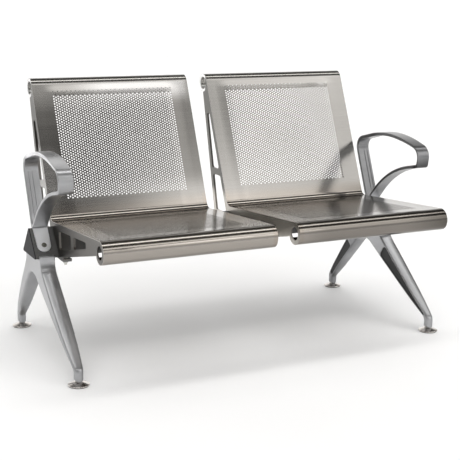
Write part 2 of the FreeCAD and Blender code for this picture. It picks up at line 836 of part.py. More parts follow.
def make_arm():
    """Cast arm loop on its saddle over the right end of the beam."""
    start = leg_plane - arm_width / 2
    end = leg_plane + arm_width / 2
    loop = side_solid(arm_outer_corners(), start, end)
    loop = loop.cut(side_solid(arm_inner_corners(), start - overrun, end + overrun))
    loop = soften_rims(loop, (start, end), arm_edge_radius)
    loop = loop.cut(arm_grooves(end))
    arm = loop.fuse([make_tongue(-1), make_tongue(1)])
    arm = arm.cut(side_solid(beam_corners(0), start - overrun, end + overrun))
    shank = arm_screw_diameter / 2 + bolt_hole_clearance
    head = arm_screw_head_diameter / 2 + bolt_hole_clearance
    for face in (-1, 1):
        point, out = tongue_hole(1, face)
        surface = point + out * saddle_thickness
        arm = arm.cut(rod(shank, point - out * overrun, surface + out * overrun))
        neck_point = surface - out * arm_screw_head_height
        arm = arm.cut(Part.makeCone(shank, head, arm_screw_head_height, neck_point, out))
    return arm


def soften_rims(shape, planes, radius):
    """Round the edges that lie in the given side planes."""
    edges = []
    for edge in shape.Edges:
        box = edge.BoundBox
        if box.XLength < 1e-6 and min(abs(box.XMin - plane) for plane in planes) < 1e-6:
            edges.append(edge)
    return shape.makeFillet(radius, edges)


def arm_grooves(outer_side):
    """Grooves down the front face of the upright."""
    foot, head = [vec(0, corner[0], corner[1]) for corner in arm_inner_corners()[:2]]
    along = head - foot
    length = along.Length
    along.normalize()
    rearward = X_AXIS.cross(along) * -1
    low = foot + along * groove_margin
    high = foot + along * (length - groove_margin)
    mouth = rearward * -arm_upright_thickness / 2
    floor = rearward * groove_depth
    corners = []
    for point in (low + mouth, low + floor, high + floor, high + mouth):
        corners.append((point.y, point.z, 0))
    grooves = []
    for inset in groove_insets:
        x = outer_side - inset
        grooves.append(side_solid(corners, x - groove_width / 2, x + groove_width / 2))
    return grooves


def arm_fasteners():
    """Countersunk screws of the arms and the threaded plates inside the beam."""
    screws = []
    plates = []
    radius = arm_screw_diameter / 2
    for side in (-1, 1):
        for face in (-1, 1):
            point, out = tongue_hole(side, face)
            surface = point + out * saddle_thickness
            neck_point = surface - out * arm_screw_head_height
            head = Part.makeCone(radius, arm_screw_head_diameter / 2, arm_screw_head_height, neck_point, out)
            shank = rod(radius, surface - out * arm_screw_length, neck_point)
            socket_floor = surface - out * arm_screw_socket_depth
            socket = hexagon(arm_screw_socket_width, socket_floor, surface + out * overrun)
            screws.append(head.fuse(shank).cut(socket))
            plates.append(arm_plate(face, point, out, radius + nut_thread_clearance))
    return {"arm_screws": screws, "arm_nut_plates": plates}


def arm_plate(face, point, out, bore):
    """Threaded plate against the inside of one slanted face."""
    down = slant_frame(face)[0]
    centre = point - out * beam_wall
    half_x = X_AXIS * (arm_plate_width / 2)
    half_s = down * (arm_plate_length / 2)
    points = [centre - half_x - half_s, centre + half_x - half_s,
              centre + half_x + half_s, centre - half_x + half_s]
    plate = Part.Face(Part.makePolygon(points + points[:1])).extrude(out * -arm_plate_thickness)
    return plate.cut(rod(bore, centre - out * (arm_plate_thickness + overrun), centre + out * overrun))


def leg_fasteners():
    """Socket-head bolts of the legs and the threaded plates on the floor of the beam."""
    bolts = []
    plates = {}
    radius = leg_bolt_diameter / 2
    seat = beam_base_height - leg_bolt_grip
    head_bottom = seat - leg_bolt_head_height
    plate_bottom = beam_base_height + beam_wall
    plate_top = plate_bottom + leg_plate_thickness
    for side, name in ((-1, "left_leg_nut_plate"), (1, "right_leg_nut_plate")):
        x = side * leg_plane
        corner = vec(x - leg_plate_width / 2, beam_setback - leg_plate_length / 2, plate_bottom)
        plate = Part.makeBox(leg_plate_width, leg_plate_length, leg_plate_thickness, corner)
        for y in leg_bolt_places():
            head = rod(leg_bolt_head_diameter / 2, vec(x, y, head_bottom), vec(x, y, seat))
            shank = rod(radius, vec(x, y, seat), vec(x, y, plate_top + leg_bolt_tip))
            socket_top = head_bottom + leg_bolt_head_height / 2
            socket = hexagon(leg_bolt_socket_width, vec(x, y, head_bottom - overrun), vec(x, y, socket_top))
            bolts.append(head.fuse(shank).cut(socket))
            bore = radius + nut_thread_clearance
            plate = plate.cut(rod(bore, vec(x, y, plate_bottom - overrun), vec(x, y, plate_top + overrun)))
        plates[name] = [plate]
    return {"leg_bolts": bolts, **plates}


def leg_bores(body):
    """Bores of a leg: its bolts and their heads, the threaded inserts and the stems."""
    seat = beam_base_height - leg_bolt_grip
    shank = leg_bolt_diameter / 2 + bolt_hole_clearance
    head = leg_bolt_head_diameter / 2 + head_pocket_clearance
    bores = []
    for y in leg_bolt_places():
        bores.append(rod(shank, vec(0, y, seat - overrun), vec(0, y, beam_base_height + overrun)))
        bores.append(rod(head, vec(0, y, seat - head_pocket_reach), vec(0, y, seat)))
    insert = stem_diameter / 2 + insert_wall
    insert_top = stub_bottom + insert_length
    stem = stem_diameter / 2 + stem_bore_clearance
    stem_top = stub_bottom + stem_reach + stem_end_gap
    for y in (0, foot_spacing):
        bores.append(rod(insert, vec(0, y, stub_bottom - overrun), vec(0, y, insert_top)))
        bores.append(rod(stem, vec(0, y, stub_bottom), vec(0, y, stem_top)))
    return body.cut(bores)


def make_glide(x, y):
    """Levelling glide: plastic sole, chromed dome and threaded stem."""
    base = vec(x, y, 0)
    sole = Part.makeCylinder(glide_radius - sole_inset, sole_thickness, base, Z_AXIS)
    low = sole_thickness
    top = low + glide_dome_height
    rim = low + glide_rim_height
    start = vec(glide_radius, 0, rim)
    finish = vec(glide_dome_top_radius, 0, top)
    middle_r = (glide_radius + glide_dome_top_radius) / 2
    middle = vec(middle_r, 0, (rim + top) / 2 + glide_dome_crown)
    edges = [Part.LineSegment(vec(0, 0, low), vec(glide_radius, 0, low)).toShape(),
             Part.LineSegment(vec(glide_radius, 0, low), start).toShape(),
             Part.Arc(start, middle, finish).toShape(),
             Part.LineSegment(finish, vec(0, 0, top)).toShape(),
             Part.LineSegment(vec(0, 0, top), vec(0, 0, low)).toShape()]
    dome = Part.Face(Part.Wire(edges)).revolve(vec(0, 0, 0), Z_AXIS, 360)
    dome.translate(base)
    socket_bottom = vec(x, y, top - stem_socket_depth - stem_clearance)
    dome = dome.cut(rod(stem_diameter / 2 + stem_clearance, socket_bottom, vec(x, y, top + overrun)))
    stem = rod(stem_diameter / 2, vec(x, y, top - stem_socket_depth), vec(x, y, stub_bottom + stem_reach))
    return sole, dome, stem


def make_insert(x, y):
    """Threaded insert cast into a foot of the leg."""
    start = vec(x, y, stub_bottom)
    end = vec(x, y, stub_bottom + insert_length)
    tube = rod(stem_diameter / 2 + insert_wall, start, end)
    bore = stem_diameter / 2 + stem_clearance
    return tube.cut(rod(bore, start - Z_AXIS * overrun, end + Z_AXIS * overrun))


def build_nodes():
    """Every named piece, in the side view's own place."""
    nodes = {}
    sheet = make_sheet()
    nodes["right_seat_sheet"] = [sheet]
    nodes["left_seat_sheet"] = [mirror_x(sheet)]
    for name, bracket in bracket_set().items():
        nodes[name] = [bracket]
    for name, x in clamp_x_places().items():
        nodes[name + "_clamp"] = [make_clamp(x)]
    nodes.update(clamp_fasteners())
    nodes["beam"] = [make_beam()]
    cap = make_end_cap()
    nodes["right_beam_cap"] = [cap]
    nodes["left_beam_cap"] = [mirror_x(cap)]
    leg = make_leg()
    nodes["right_leg"] = [leg]
    nodes["left_leg"] = [mirror_x(leg)]
    nodes.update(leg_fasteners())
    arm = make_arm()
    nodes["right_arm"] = [arm]
    nodes["left_arm"] = [mirror_x(arm)]
    nodes.update(arm_fasteners())
    inserts = []
    for side, side_name in ((-1, "left"), (1, "right")):
        for y, end_name in ((0.0, "front"), (foot_spacing, "rear")):
            x = side * leg_plane
            sole, dome, stem = make_glide(x, y)
            prefix = side_name + "_" + end_name + "_glide"
            nodes[prefix + "_sole"] = [sole]
            nodes[prefix + "_pad"] = [dome]
            nodes[prefix + "_stem"] = [stem]
            inserts.append(make_insert(x, y))
    nodes["glide_inserts"] = inserts
    return nodes


os.makedirs("parts", exist_ok=True)
for name, solids in build_nodes().items():
    shape = solids[0] if len(solids) == 1 else Part.makeCompound(solids)
    shape.translate(Y_AXIS * depth_shift)
    shape.exportStep("parts/" + name + ".step")
    print(name, len(shape.Solids), round(shape.Volume), shape.isValid())
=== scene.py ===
# %% [markdown]
# # Beam seating for two, dressed for its picture
# The real object is a waiting-room bench: two seats, each bent from one perforated stainless
# sheet, on a triangular beam, with polished cast legs and arm loops. The solid model already
# has every piece in its true place. This lesson keeps that model as a fixed frame, and makes
# the visible pieces anew where a machinist's solid is too plain: real holes in the sheets,
# soft cast forms, rolled edges and worked metal surfaces.

# %% Load the frame
import itertools
import json
import math

import bmesh
import bpy
import numpy as np
from mathutils import Matrix, Vector


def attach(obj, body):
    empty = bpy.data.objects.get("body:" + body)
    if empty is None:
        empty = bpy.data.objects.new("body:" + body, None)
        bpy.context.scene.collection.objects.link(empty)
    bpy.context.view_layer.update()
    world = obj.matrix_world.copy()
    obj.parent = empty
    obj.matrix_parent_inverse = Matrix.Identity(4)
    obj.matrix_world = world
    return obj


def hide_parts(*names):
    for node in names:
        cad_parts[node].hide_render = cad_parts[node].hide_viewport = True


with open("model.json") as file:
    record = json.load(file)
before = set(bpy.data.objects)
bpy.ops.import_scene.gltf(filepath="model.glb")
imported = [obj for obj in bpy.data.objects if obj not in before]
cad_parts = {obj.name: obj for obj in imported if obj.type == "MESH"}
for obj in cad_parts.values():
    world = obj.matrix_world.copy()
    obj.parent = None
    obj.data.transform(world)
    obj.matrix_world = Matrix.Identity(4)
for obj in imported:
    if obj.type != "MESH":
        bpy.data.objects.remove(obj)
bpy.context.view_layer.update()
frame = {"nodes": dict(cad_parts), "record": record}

nodes = frame["nodes"]
print("pieces in the frame:", len(nodes))

# %% [markdown]
# The photograph looks down on the bench from its front left. A camera is a point, a direction
# and a lens. These came from matching about forty places on the bench with the picture, so they
# are written as plain numbers. The small shift puts the middle of the lens where the picture's
# middle is.

# %% Camera
def add_object(name, data):
    """A new object in the scene."""
    made = bpy.data.objects.new(name, data)
    bpy.context.scene.collection.objects.link(made)
    return made


camera_place = Vector((-1.3894, -2.8314, 1.0328))
camera_yaw = math.radians(26.17)
camera_pitch = math.radians(12.92)
camera_roll = math.radians(0.56)
ahead = Vector((math.sin(camera_yaw) * math.cos(camera_pitch),
                math.cos(camera_yaw) * math.cos(camera_pitch),
                -math.sin(camera_pitch)))
level = Vector((math.cos(camera_yaw), -math.sin(camera_yaw), 0))
upright = level.cross(ahead)
right = level * math.cos(camera_roll) + upright * math.sin(camera_roll)
up = upright * math.cos(camera_roll) - level * math.sin(camera_roll)
lens = bpy.data.cameras.new("photo_lens")
lens.sensor_width = 36
lens.lens = 82.156
lens.shift_x = -0.00437
lens.shift_y = 0.01335
camera = add_object("photo_camera", lens)
camera.matrix_world = Matrix.Translation(camera_place) @ Matrix((right, up, -ahead)).transposed().to_4x4()
bpy.context.scene.camera = camera
print("camera at", tuple(camera_place))

# %% [markdown]
# Node trees are easier to read as sums than as boxes and wires. This small class wraps one
# socket of a node tree. Python's own signs then add the Math nodes: `1 - mask` works, because
# the reflected forms are there too. Every other node comes from `node`, which sets the node up
# first and then fills or links its sockets.

# %% Sockets as sums
class Wire:
    """One output socket of a node tree, ready for Python's sums."""

    def __init__(self, tree, socket=None):
        self.tree = tree
        self.socket = socket

    def node(self, kind, settings=None, sockets=None, out=0):
        """Add a node, set it up, fill or link its sockets, and wrap one of its outputs."""
        made = self.tree.nodes.new(kind)
        for name, value in (settings or {}).items():
            if name == "stops":
                ramp = made.color_ramp
                while len(ramp.elements) < len(value):
                    ramp.elements.new(1)
                for element, (place, colour) in zip(ramp.elements, value):
                    element.position = place
                    element.color = (*colour, 1)
            else:
                setattr(made, name, value)
        for name, value in (sockets or {}).items():
            if isinstance(value, Wire):
                self.tree.links.new(value.socket, made.inputs[name])
            else:
                made.inputs[name].default_value = value
        return Wire(self.tree, made.outputs[out])

    def maths(self, operation, *values):
        """A Math node on these values."""
        return self.node("ShaderNodeMath", {"operation": operation}, dict(enumerate(values)))

    def __add__(self, other):
        return self.maths("ADD", self, other)

    def __sub__(self, other):
        return self.maths("SUBTRACT", self, other)

    def __rsub__(self, other):
        return self.maths("SUBTRACT", other, self)

    def __mul__(self, other):
        return self.maths("MULTIPLY", self, other)

    def __pow__(self, other):
        return self.maths("POWER", self, other)

    __radd__ = __add__
    __rmul__ = __mul__

    def stretched(self, scale):
        """This vector times a scale for each axis."""
        return self.node("ShaderNodeVectorMath", {"operation": "MULTIPLY"}, {0: self, 1: scale})

    def axes(self):
        """This vector's X, Y and Z."""
        return [self.node("ShaderNodeSeparateXYZ", None, {0: self}, out=k) for k in range(3)]

    def noise(self, scale, detail=2.0, roughness=0.5):
        """Soft random values from 0 to 1 at this place."""
        return self.node("ShaderNodeTexNoise", None,
                         {"Vector": self, "Scale": scale, "Detail": detail, "Roughness": roughness})

    def between(self, low, high, start=0.0, end=1.0):
        """This value's run from low to high, brought to the run from start to end."""
        return self.node("ShaderNodeMapRange", {"interpolation_type": "SMOOTHSTEP"},
                         {"Value": self, "From Min": low, "From Max": high, "To Min": start, "To Max": end})

    def below(self, full, none):
        """1 up to the first value, and down softly to 0 at the second."""
        return self.between(full, none, 1.0, 0.0)

    def within(self, start, full, fade, end):
        """A soft band: 0 at start, 1 from full to fade, and 0 again at end."""
        return self.between(start, full) * self.below(fade, end)

    def blend(self, low_colour, high_colour):
        """A colour between two, by this value. Each may be numbers or a wire."""
        low, high = [colour if isinstance(colour, Wire) else (*colour, 1)
                     for colour in (low_colour, high_colour)]
        return self.node("ShaderNodeMix", {"data_type": "RGBA"}, {"Factor": self, 6: low, 7: high}, out=2)

    def bump(self, strength, distance, over=None):
        """A surface normal from this height, over another bump if there is one."""
        sockets = {"Height": self, "Strength": strength, "Distance": distance}
        if over:
            sockets["Normal"] = over
        return self.node("ShaderNodeBump", None, sockets)


def new_finish(name, metallic, **fixed):
    """A new material: its shader, the place on the surface, and a way to feed its sockets."""
    material = bpy.data.materials.new(name)
    material.use_nodes = True
    tree = material.node_tree
    shader = tree.nodes["Principled BSDF"]
    shader.inputs["Metallic"].default_value = metallic
    for socket, value in fixed.items():
        shader.inputs[socket.replace("_", " ")].default_value = value
    place = Wire(tree).node("ShaderNodeTexCoord", out="Object")

    def feed(socket, value):
        """Link a value to one of the shader's sockets."""
        tree.links.new(value.socket, shader.inputs[socket])

    return material, place, feed


print("sums ready")

# %% [markdown]
# A plain studio: a pale floor, soft lamps, and a surround that the metal can show. Polished
# metal has hardly a colour of its own, so what stands around it makes its greys. Photographers
# hang long white panels in a dim room. Here there are five. One right overhead draws the thin
# bright line along each roll, and one high in front lights the tops of the backs. A large one
# at the front right lights the right back, a small bright one lights the corner of the left
# back, and a low one behind keeps the rear of the bench from going black. The panels are soft
# bands in the surround, written as sums of the direction, so that every reflection comes from
# one clean gradient.

# %% Floor
floor_half = 14.0
floor_mesh = bpy.data.meshes.new("studio_floor")
floor_mesh.from_pydata([(-floor_half, -floor_half, 0), (floor_half, -floor_half, 0),
                        (floor_half, floor_half, 0), (-floor_half, floor_half, 0)], [], [(0, 1, 2, 3)])
floor = add_object("studio_floor", floor_mesh)
floor_finish, floor_place, floor_feed = new_finish("pale_floor", 0.0, Roughness=0.8)
floor_feed("Base Color", floor_place.noise(1.5).blend((0.86, 0.86, 0.86), (0.9, 0.9, 0.9)))
floor_mesh.materials.append(floor_finish)
print("floor ready")

# %% Surround with soft panels
surround = bpy.data.worlds.new("studio_surround")
surround.use_nodes = True
bpy.context.scene.world = surround
sky = Wire(surround.node_tree)
direction = sky.node("ShaderNodeTexCoord", out="Generated")
sky_x, sky_y, sky_z = direction.axes()
degrees = 180 / math.pi
arch_angle = sky.maths("ARCTAN2", sky_z, sky_y) * degrees
right_angle = sky.maths("ARCTAN2", sky_x, 0 - sky_y) * degrees


def panel(angle, centre, half):
    """A soft band round one angle: 1 in its middle and 0 beyond its half width."""
    return sky.maths("ABSOLUTE", angle - centre).below(0.0, half)


room_greys = [(0.0, (0.9, 0.9, 0.9)), (0.1, (0.62, 0.62, 0.62)),
              (0.26, (0.36, 0.355, 0.35)), (0.6, (0.09, 0.088, 0.084))]
room = sky_z.node("ShaderNodeValToRGB", {"stops": room_greys}, {"Fac": sky_z})
overhead = panel(arch_angle, 92.0, 9.0) * 4.0
high_front = panel(arch_angle, 132.0, 10.5) * 2.0
front_right = panel(arch_angle, 150.0, 26.0) * (right_angle + arch_angle).between(168.5, 173.0) * 1.5
corner_glow = panel(arch_angle, 150.0, 8.0) * panel(right_angle, 28.0, 5.0) * 2.2
low_back = panel(arch_angle, 22.0, 34.0) * 0.9
panel_ends = sky.maths("ABSOLUTE", sky_x).below(0.62, 0.9)
panels_light = (overhead + high_front + front_right + corner_glow + low_back) * panel_ends
panel_white = (1.0, 0.99, 0.975)
panel_colour = sky.node("ShaderNodeVectorMath", {"operation": "SCALE"},
                        {0: panel_white, "Scale": panels_light})
sky_light = sky.node("ShaderNodeVectorMath", {"operation": "ADD"}, {0: room, 1: panel_colour})
surround.node_tree.links.new(sky_light.socket, surround.node_tree.nodes["Background"].inputs["Color"])
bpy.context.scene.view_settings.view_transform = "Standard"
print("surround ready")

# %% Lamps
def soft_sun(name, height, turn, strength, spread):
    """A broad, far lamp at a height and a turn in degrees, which no metal mirrors."""
    lamp = bpy.data.lights.new(name, "SUN")
    lamp.energy = strength
    lamp.angle = math.radians(spread)
    sun = add_object(name, lamp)
    sun.rotation_euler = (math.radians(90 - height), 0, math.radians(turn))
    sun.visible_glossy = False


soft_sun("floor_wash", height=78.0, turn=30.0, strength=1.32, spread=80.0)
soft_sun("front_wash", height=35.0, turn=-26.0, strength=0.5, spread=60.0)
soft_sun("back_wash", height=35.0, turn=154.0, strength=0.5, spread=60.0)
print("lamps ready")

# %% [markdown]
# The shape of the bench is nearly all in its side view: the seat slopes down to the rear by a
# few degrees, the back leans, and a roll ends each of them. So a few driving sizes fix the
# section of a sheet, and a pair of Y and Z is enough for a place. They are in millimetres, as
# in the workshop, and each mesh is brought to metres when it is made. The finishes need the
# middle of the top roll too, to know which metal lies inside it.

# %% Places in the side view
MM = 0.001
depth_shift = -246.9056
slope_degrees, lean_degrees = 4.2, 23.2
seat_slope, back_lean = math.radians(slope_degrees), math.radians(lean_degrees)
seat_bend = np.array((347.0 + depth_shift, 383.4))
seat_way = np.array((-math.cos(seat_slope), math.sin(seat_slope)))
seat_face = np.array((math.sin(seat_slope), math.cos(seat_slope)))
back_way = np.array((math.sin(back_lean), math.cos(back_lean)))
back_face = np.array((-math.cos(back_lean), math.sin(back_lean)))
seat_length, back_length = 430.0, 417.0
front_radius, top_radius, bend_radius = 32.0, 29.0, 24.0
front_roll = seat_bend + seat_way * seat_length - seat_face * front_radius
top_roll = seat_bend + back_way * back_length - back_face * top_radius
print("front roll at", front_roll.round(1), "top roll at", top_roll.round(1))

# %% [markdown]
# Brushed stainless steel is a mirror crossed by fine parallel scratches. The scratches run
# along the rolls, so on every surface they follow X. Noise that is stretched two hundredfold
# along X makes them: it varies the roughness and tilts the surface a little. Larger, softer
# noise adds the cloudiness that a wiped sheet has.
#
# Painted light and shade are here too. At seat height the seats and the front rolls are painted
# warmer than the backs, a painted reflection of a warm floor, and the brackets darker, a painted
# shade. The steel in the gap between the seats has a painted colour of its own, much lighter on
# the brackets, a painted reflection. The inside of the top rolls is painted nearly white, painted
# light against the shade inside them. The top of the left back and the steel beside the left arm
# are painted lighter, a painted highlight. The left back, the right front roll and the right side
# of the right seat are painted darker, a painted shade. Each such region is a mask: a product of
# smooth steps in X, Y and Z, in metres. A blend with a mask then changes the colour in that region
# alone. Every finish is kept under its slot in the record.
# region is a mask: a product of smooth steps in X, Y and Z, in metres. A blend with a mask then
# changes the colour in that region alone. Every finish is kept under its slot in the record.

# %% Where painted light and shade change the steel
top_y, top_z = top_roll * MM
inside_roll = (0.0279, 0.0283)
painted_shade_colour, painted_light_in_roll = (0.03, 0.026, 0.022), (0.97, 0.97, 0.96)
painted_highlight_top, painted_light_beside_arm = (0.59, 0.58, 0.57), (0.9, 0.88, 0.86)


def with_painted_light(steel, warm, middle, x, y, z):
    """The steel's colour with painted light and shade, from the place on the bench."""
    seat_height = z.below(0.40, 0.44)
    # Painted reflection: at seat height the seats are painted warmer, and the brackets darker, a painted
    # shade.
    steel = (seat_height * 0.7).blend(steel, warm)
    # Painted reflection in the gap between the seats: a colour of its own there, much lighter on the
    # brackets.
    steel = (seat_height * x.maths("ABSOLUTE", x).below(0.045, 0.05)).blend(steel, middle)
    # Painted highlight along the top of the left back.
    left_top = z.within(0.70, 0.745, 0.764, 0.768) * x.within(-0.45, -0.3, -0.06, -0.03)
    steel = left_top.blend(steel, painted_highlight_top)
    # Painted light on the steel beside the left arm.
    beside_arm = z.within(0.44, 0.48, 0.54, 0.6) * x.below(-0.51, -0.47)
    steel = (beside_arm * 0.6).blend(steel, painted_light_beside_arm)
    # Painted light inside the top rolls, against the shade there.
    from_roll = ((y - top_y) ** 2 + (z - top_z) ** 2) ** 0.5
    inside = from_roll.below(*inside_roll) * y.between(0.27, 0.28)
    steel = inside.blend(steel, painted_light_in_roll)
    # Painted shade: the left back, the right front roll and the right side of the right seat are darker.
    left_back = z.within(0.43, 0.5, 0.68, 0.75) * x.below(-0.04, 0.04)
    right_front_roll = y.below(-0.335, -0.325) * x.between(-0.05, 0.15)
    right_seat_side = seat_height * x.between(0.35, 0.6)
    shade_amount = left_back * 0.38 + right_front_roll * 0.4 + right_seat_side * 0.4
    return shade_amount.blend(steel, painted_shade_colour)


print("inside of the top rolls:", inside_roll, "m from", (round(top_y, 4), round(top_z, 4)))

# %% Brushed steel
def brushed_steel(name, dark, light, warm, middle, roughness, grain):
    """Steel with scratches along X: its two greys, its colours of painted light and shade, and how rough it
    is.
    """
    material, place, feed = new_finish(name, 1.0)
    streaks = place.stretched((5.0, 1100.0, 1100.0)).noise(1.0, 3.0, 0.6)
    wide_streaks = place.stretched((1.5, 160.0, 160.0)).noise(1.0, 2.0)
    cloud = place.noise(4.0, 3.0)
    x, y, z = place.axes()
    steel = (streaks * 0.5 + cloud * 0.5).between(0.3, 0.7).blend(dark, light)
    feed("Base Color", with_painted_light(steel, warm, middle, x, y, z))
    feed("Roughness", roughness + (streaks - 0.5) * 0.08 + (wide_streaks - 0.5) * 0.05 + (cloud - 0.5) * 0.06)
    outer_x = x.maths("ABSOLUTE", x)
    crown = z.below(0.742, 0.768) * outer_x.within(0.06, 0.12, 0.455, 0.515)
    feed("Normal", (streaks + wide_streaks * 0.6).bump(grain, 0.0001, over=crown.bump(1.0, 0.0011)))
    return material


finishes = {}
# The low and middle colours of each steel are painted: a painted warm reflection on the seats, painted shade
# on the brackets, and a painted reflection in the gap.
finishes["seat_steel"] = brushed_steel(
    "brushed_seat_steel", dark=(0.308, 0.299, 0.284), light=(0.36, 0.35, 0.334),
    warm=(0.36, 0.325, 0.288), middle=(0.345, 0.31, 0.275), roughness=0.16, grain=0.06)
finishes["bracket_steel"] = brushed_steel(
    "bracket_steel", dark=(0.15, 0.146, 0.136), light=(0.2, 0.195, 0.184),
    warm=(0.11, 0.102, 0.092), middle=(0.58, 0.55, 0.505), roughness=0.34, grain=0.08)
print("steel ready")

# %% [markdown]
# The legs and arms are cast aluminium, ground smooth and buffed. Buffing leaves slow waves in
# the surface, which bend the reflections, and short fine marks, mostly upright. One bump takes
# both. The wheel can't reach the floors of the recesses, so these stay dark and dull as they
# came from the mould. The tongues on the beam and the crest of the left arm are painted
# brighter, a painted highlight. The lower noses of the arms, the right arm, the right rear limb
# and the right halves of the front limbs are painted darker, a painted shade. One ramp turns the
# shade, from 0 in a recess to 1 on a tongue, into the metal's grey.

# %% Polished castings
def painted_shade_places(x, y, z):
    """How much painted shade darkens the casting, from its place on the bench."""
    lower_arm = z.below(0.505, 0.56)
    nose = lower_arm * y.below(-0.165, -0.15) * z.between(0.4, 0.5)
    right_arm = z.between(0.36, 0.40) * x.between(0.4, 0.5)
    right_rear_limb = z.below(0.26, 0.3) * y.between(0.06, 0.12) * x.between(0.4, 0.5)
    right_halves = x.between(0.57, 0.585) + x.within(-0.58, -0.565, -0.5, -0.4)
    front_limbs = z.below(0.22, 0.28) * y.below(0.06, 0.12) * right_halves
    return right_arm * 0.62 + nose * 0.4 + right_rear_limb * 0.5 + front_limbs * 0.5


def polished_casting(name, unground, dark, light, mirror, roughness):
    """Buffed aluminium: its greys from the recess floors to the painted highlight on the tongues."""
    material, place, feed = new_finish(name, 0.86)
    as_cast = place.node("ShaderNodeAttribute", {"attribute_name": "as_cast"}, out=2)
    waves = place.noise(28.0, 1.0)
    marks = place.stretched((1.0, 1.0, 0.25)).noise(700.0, 3.0, 0.65)
    cloud = place.noise(9.0, 3.0)
    x, y, z = place.axes()
    # Painted highlight: the tongues and the crest of the left arm are made brighter.
    tongue = z.within(0.302, 0.308, 0.366, 0.372)
    left_crest = z.between(0.56, 0.58) * x.below(-0.5, -0.4)
    shade = (cloud * 0.85 + marks * 0.15).between(0.3, 0.7, 0.3, 0.6)
    shade = shade * (1 - as_cast) * (1 - painted_shade_places(x, y, z)) + tongue * 0.6 + left_crest * 0.4
    stops = [(0.0, unground), (0.3, dark), (0.6, light), (1.0, mirror)]
    feed("Base Color", shade.node("ShaderNodeValToRGB", {"stops": stops}, {"Fac": shade}))
    feed("Roughness", roughness + (marks - 0.5) * 0.06 + (cloud - 0.5) * 0.12 + as_cast * 0.25)
    feed("Normal", (waves * 0.9 + marks * 0.004).bump(0.12, 0.0010))
    return material


# The mirror grey is reached only on the tongues and the left crest, as a painted highlight.
finishes["cast_aluminium"] = polished_casting(
    "polished_casting", unground=(0.06, 0.06, 0.06), dark=(0.37, 0.373, 0.383),
    light=(0.44, 0.444, 0.455), mirror=(0.95, 0.955, 0.97), roughness=0.3)
print("castings ready")

# %% [markdown]
# Plated and painted small pieces. Chrome is nearly a mirror, with faint handling marks. Zinc
# is duller and mottled. The beam and its clamps have a satin grey paint with a fine orange
# peel, and the end caps and soles are moulded in black plastic with a grain of fine ridges.
# One coarse pattern and one fine one are enough for each.

# %% Chrome, zinc, paint and plastic
def chrome_finish():
    """Plated mirror with smears from hands."""
    material, place, feed = new_finish("chrome_plate", 1.0)
    smears = place.stretched((1.0, 1.0, 3.0)).noise(60.0, 3.0)
    feed("Base Color", smears.between(0.3, 0.7).blend((0.6, 0.57, 0.54), (0.72, 0.69, 0.66)))
    feed("Roughness", 0.06 + smears * 0.1)
    feed("Normal", place.noise(90.0, 1.0).bump(0.1, 0.0004))
    return material


def zinc_finish(name, dark, light, roughness):
    """Dull plating with a fine spangle."""
    material, place, feed = new_finish(name, 1.0)
    spangle = place.noise(380.0, 2.0)
    cloud = place.noise(60.0, 2.0)
    feed("Base Color", (spangle * 0.4 + cloud * 0.6).between(0.35, 0.65).blend(dark, light))
    feed("Roughness", roughness + (spangle - 0.5) * 0.2)
    feed("Normal", spangle.bump(0.15, 0.0002))
    return material


def paint_finish(name, dark, light, roughness):
    """Satin paint with a fine orange peel."""
    material, place, feed = new_finish(name, 0.0, Coat_Weight=0.15)
    peel = place.noise(900.0, 2.0)
    cloud = place.noise(12.0, 3.0)
    feed("Base Color", cloud.between(0.3, 0.7).blend(dark, light))
    feed("Roughness", roughness + (cloud - 0.5) * 0.12 + (peel - 0.5) * 0.06)
    feed("Normal", peel.bump(0.2, 0.0003))
    return material


def moulded_finish():
    """Black plastic with fine ridges and specks."""
    material, place, feed = new_finish("moulded_black", 0.0, Specular_IOR_Level=0.2)
    ridges = place.node("ShaderNodeTexWave", {"bands_direction": "DIAGONAL"},
                        {"Vector": place, "Scale": 90.0, "Distortion": 0.3, "Detail": 1.0})
    specks = place.noise(1500.0, 2.0)
    feed("Base Color", (ridges * 0.6 + specks * 0.4).blend((0.006, 0.006, 0.007), (0.028, 0.028, 0.031)))
    feed("Roughness", 0.45 + specks * 0.2)
    feed("Normal", (ridges * 0.8 + specks * 0.2).bump(0.35, 0.0003))
    return material


finishes["chrome_foot"] = chrome_finish()
finishes["zinc_fasteners"] = zinc_finish(
    "zinc_plate", dark=(0.5, 0.49, 0.46), light=(0.66, 0.65, 0.61), roughness=0.34)
finishes["screw_steel"] = zinc_finish(
    "screw_steel", dark=(0.2, 0.195, 0.165), light=(0.3, 0.29, 0.25), roughness=0.3)
finishes["beam_paint"] = paint_finish(
    "beam_paint", dark=(0.06, 0.06, 0.058), light=(0.095, 0.094, 0.091), roughness=0.34)
finishes["clamp_steel"] = paint_finish(
    "clamp_paint", dark=(0.13, 0.13, 0.13), light=(0.19, 0.19, 0.187), roughness=0.38)
finishes["black_plastic"] = moulded_finish()
print("finishes by slot:", sorted(finishes))

# %% [markdown]
# Most of the frame's pieces already have the right shape. They only need a finish, and the
# record says which piece takes which. A flat-sided solid also looks better when its edges
# catch the light. So the plates, clamps and caps are copied, cleaned of the triangles that the
# file format needs, and given a narrow bevel.

# %% Give every frame piece its finish
slot_of = {part["node"]: part["material_slot"] for part in frame["record"]["subparts"]}
body_of = {name: body for body, names in frame["record"]["behaviour"]["bodies"].items() for name in names}
for name, piece in nodes.items():
    piece.data.materials.clear()
    piece.data.materials.append(finishes[slot_of[name]])
print("finished from the frame:", len(slot_of))

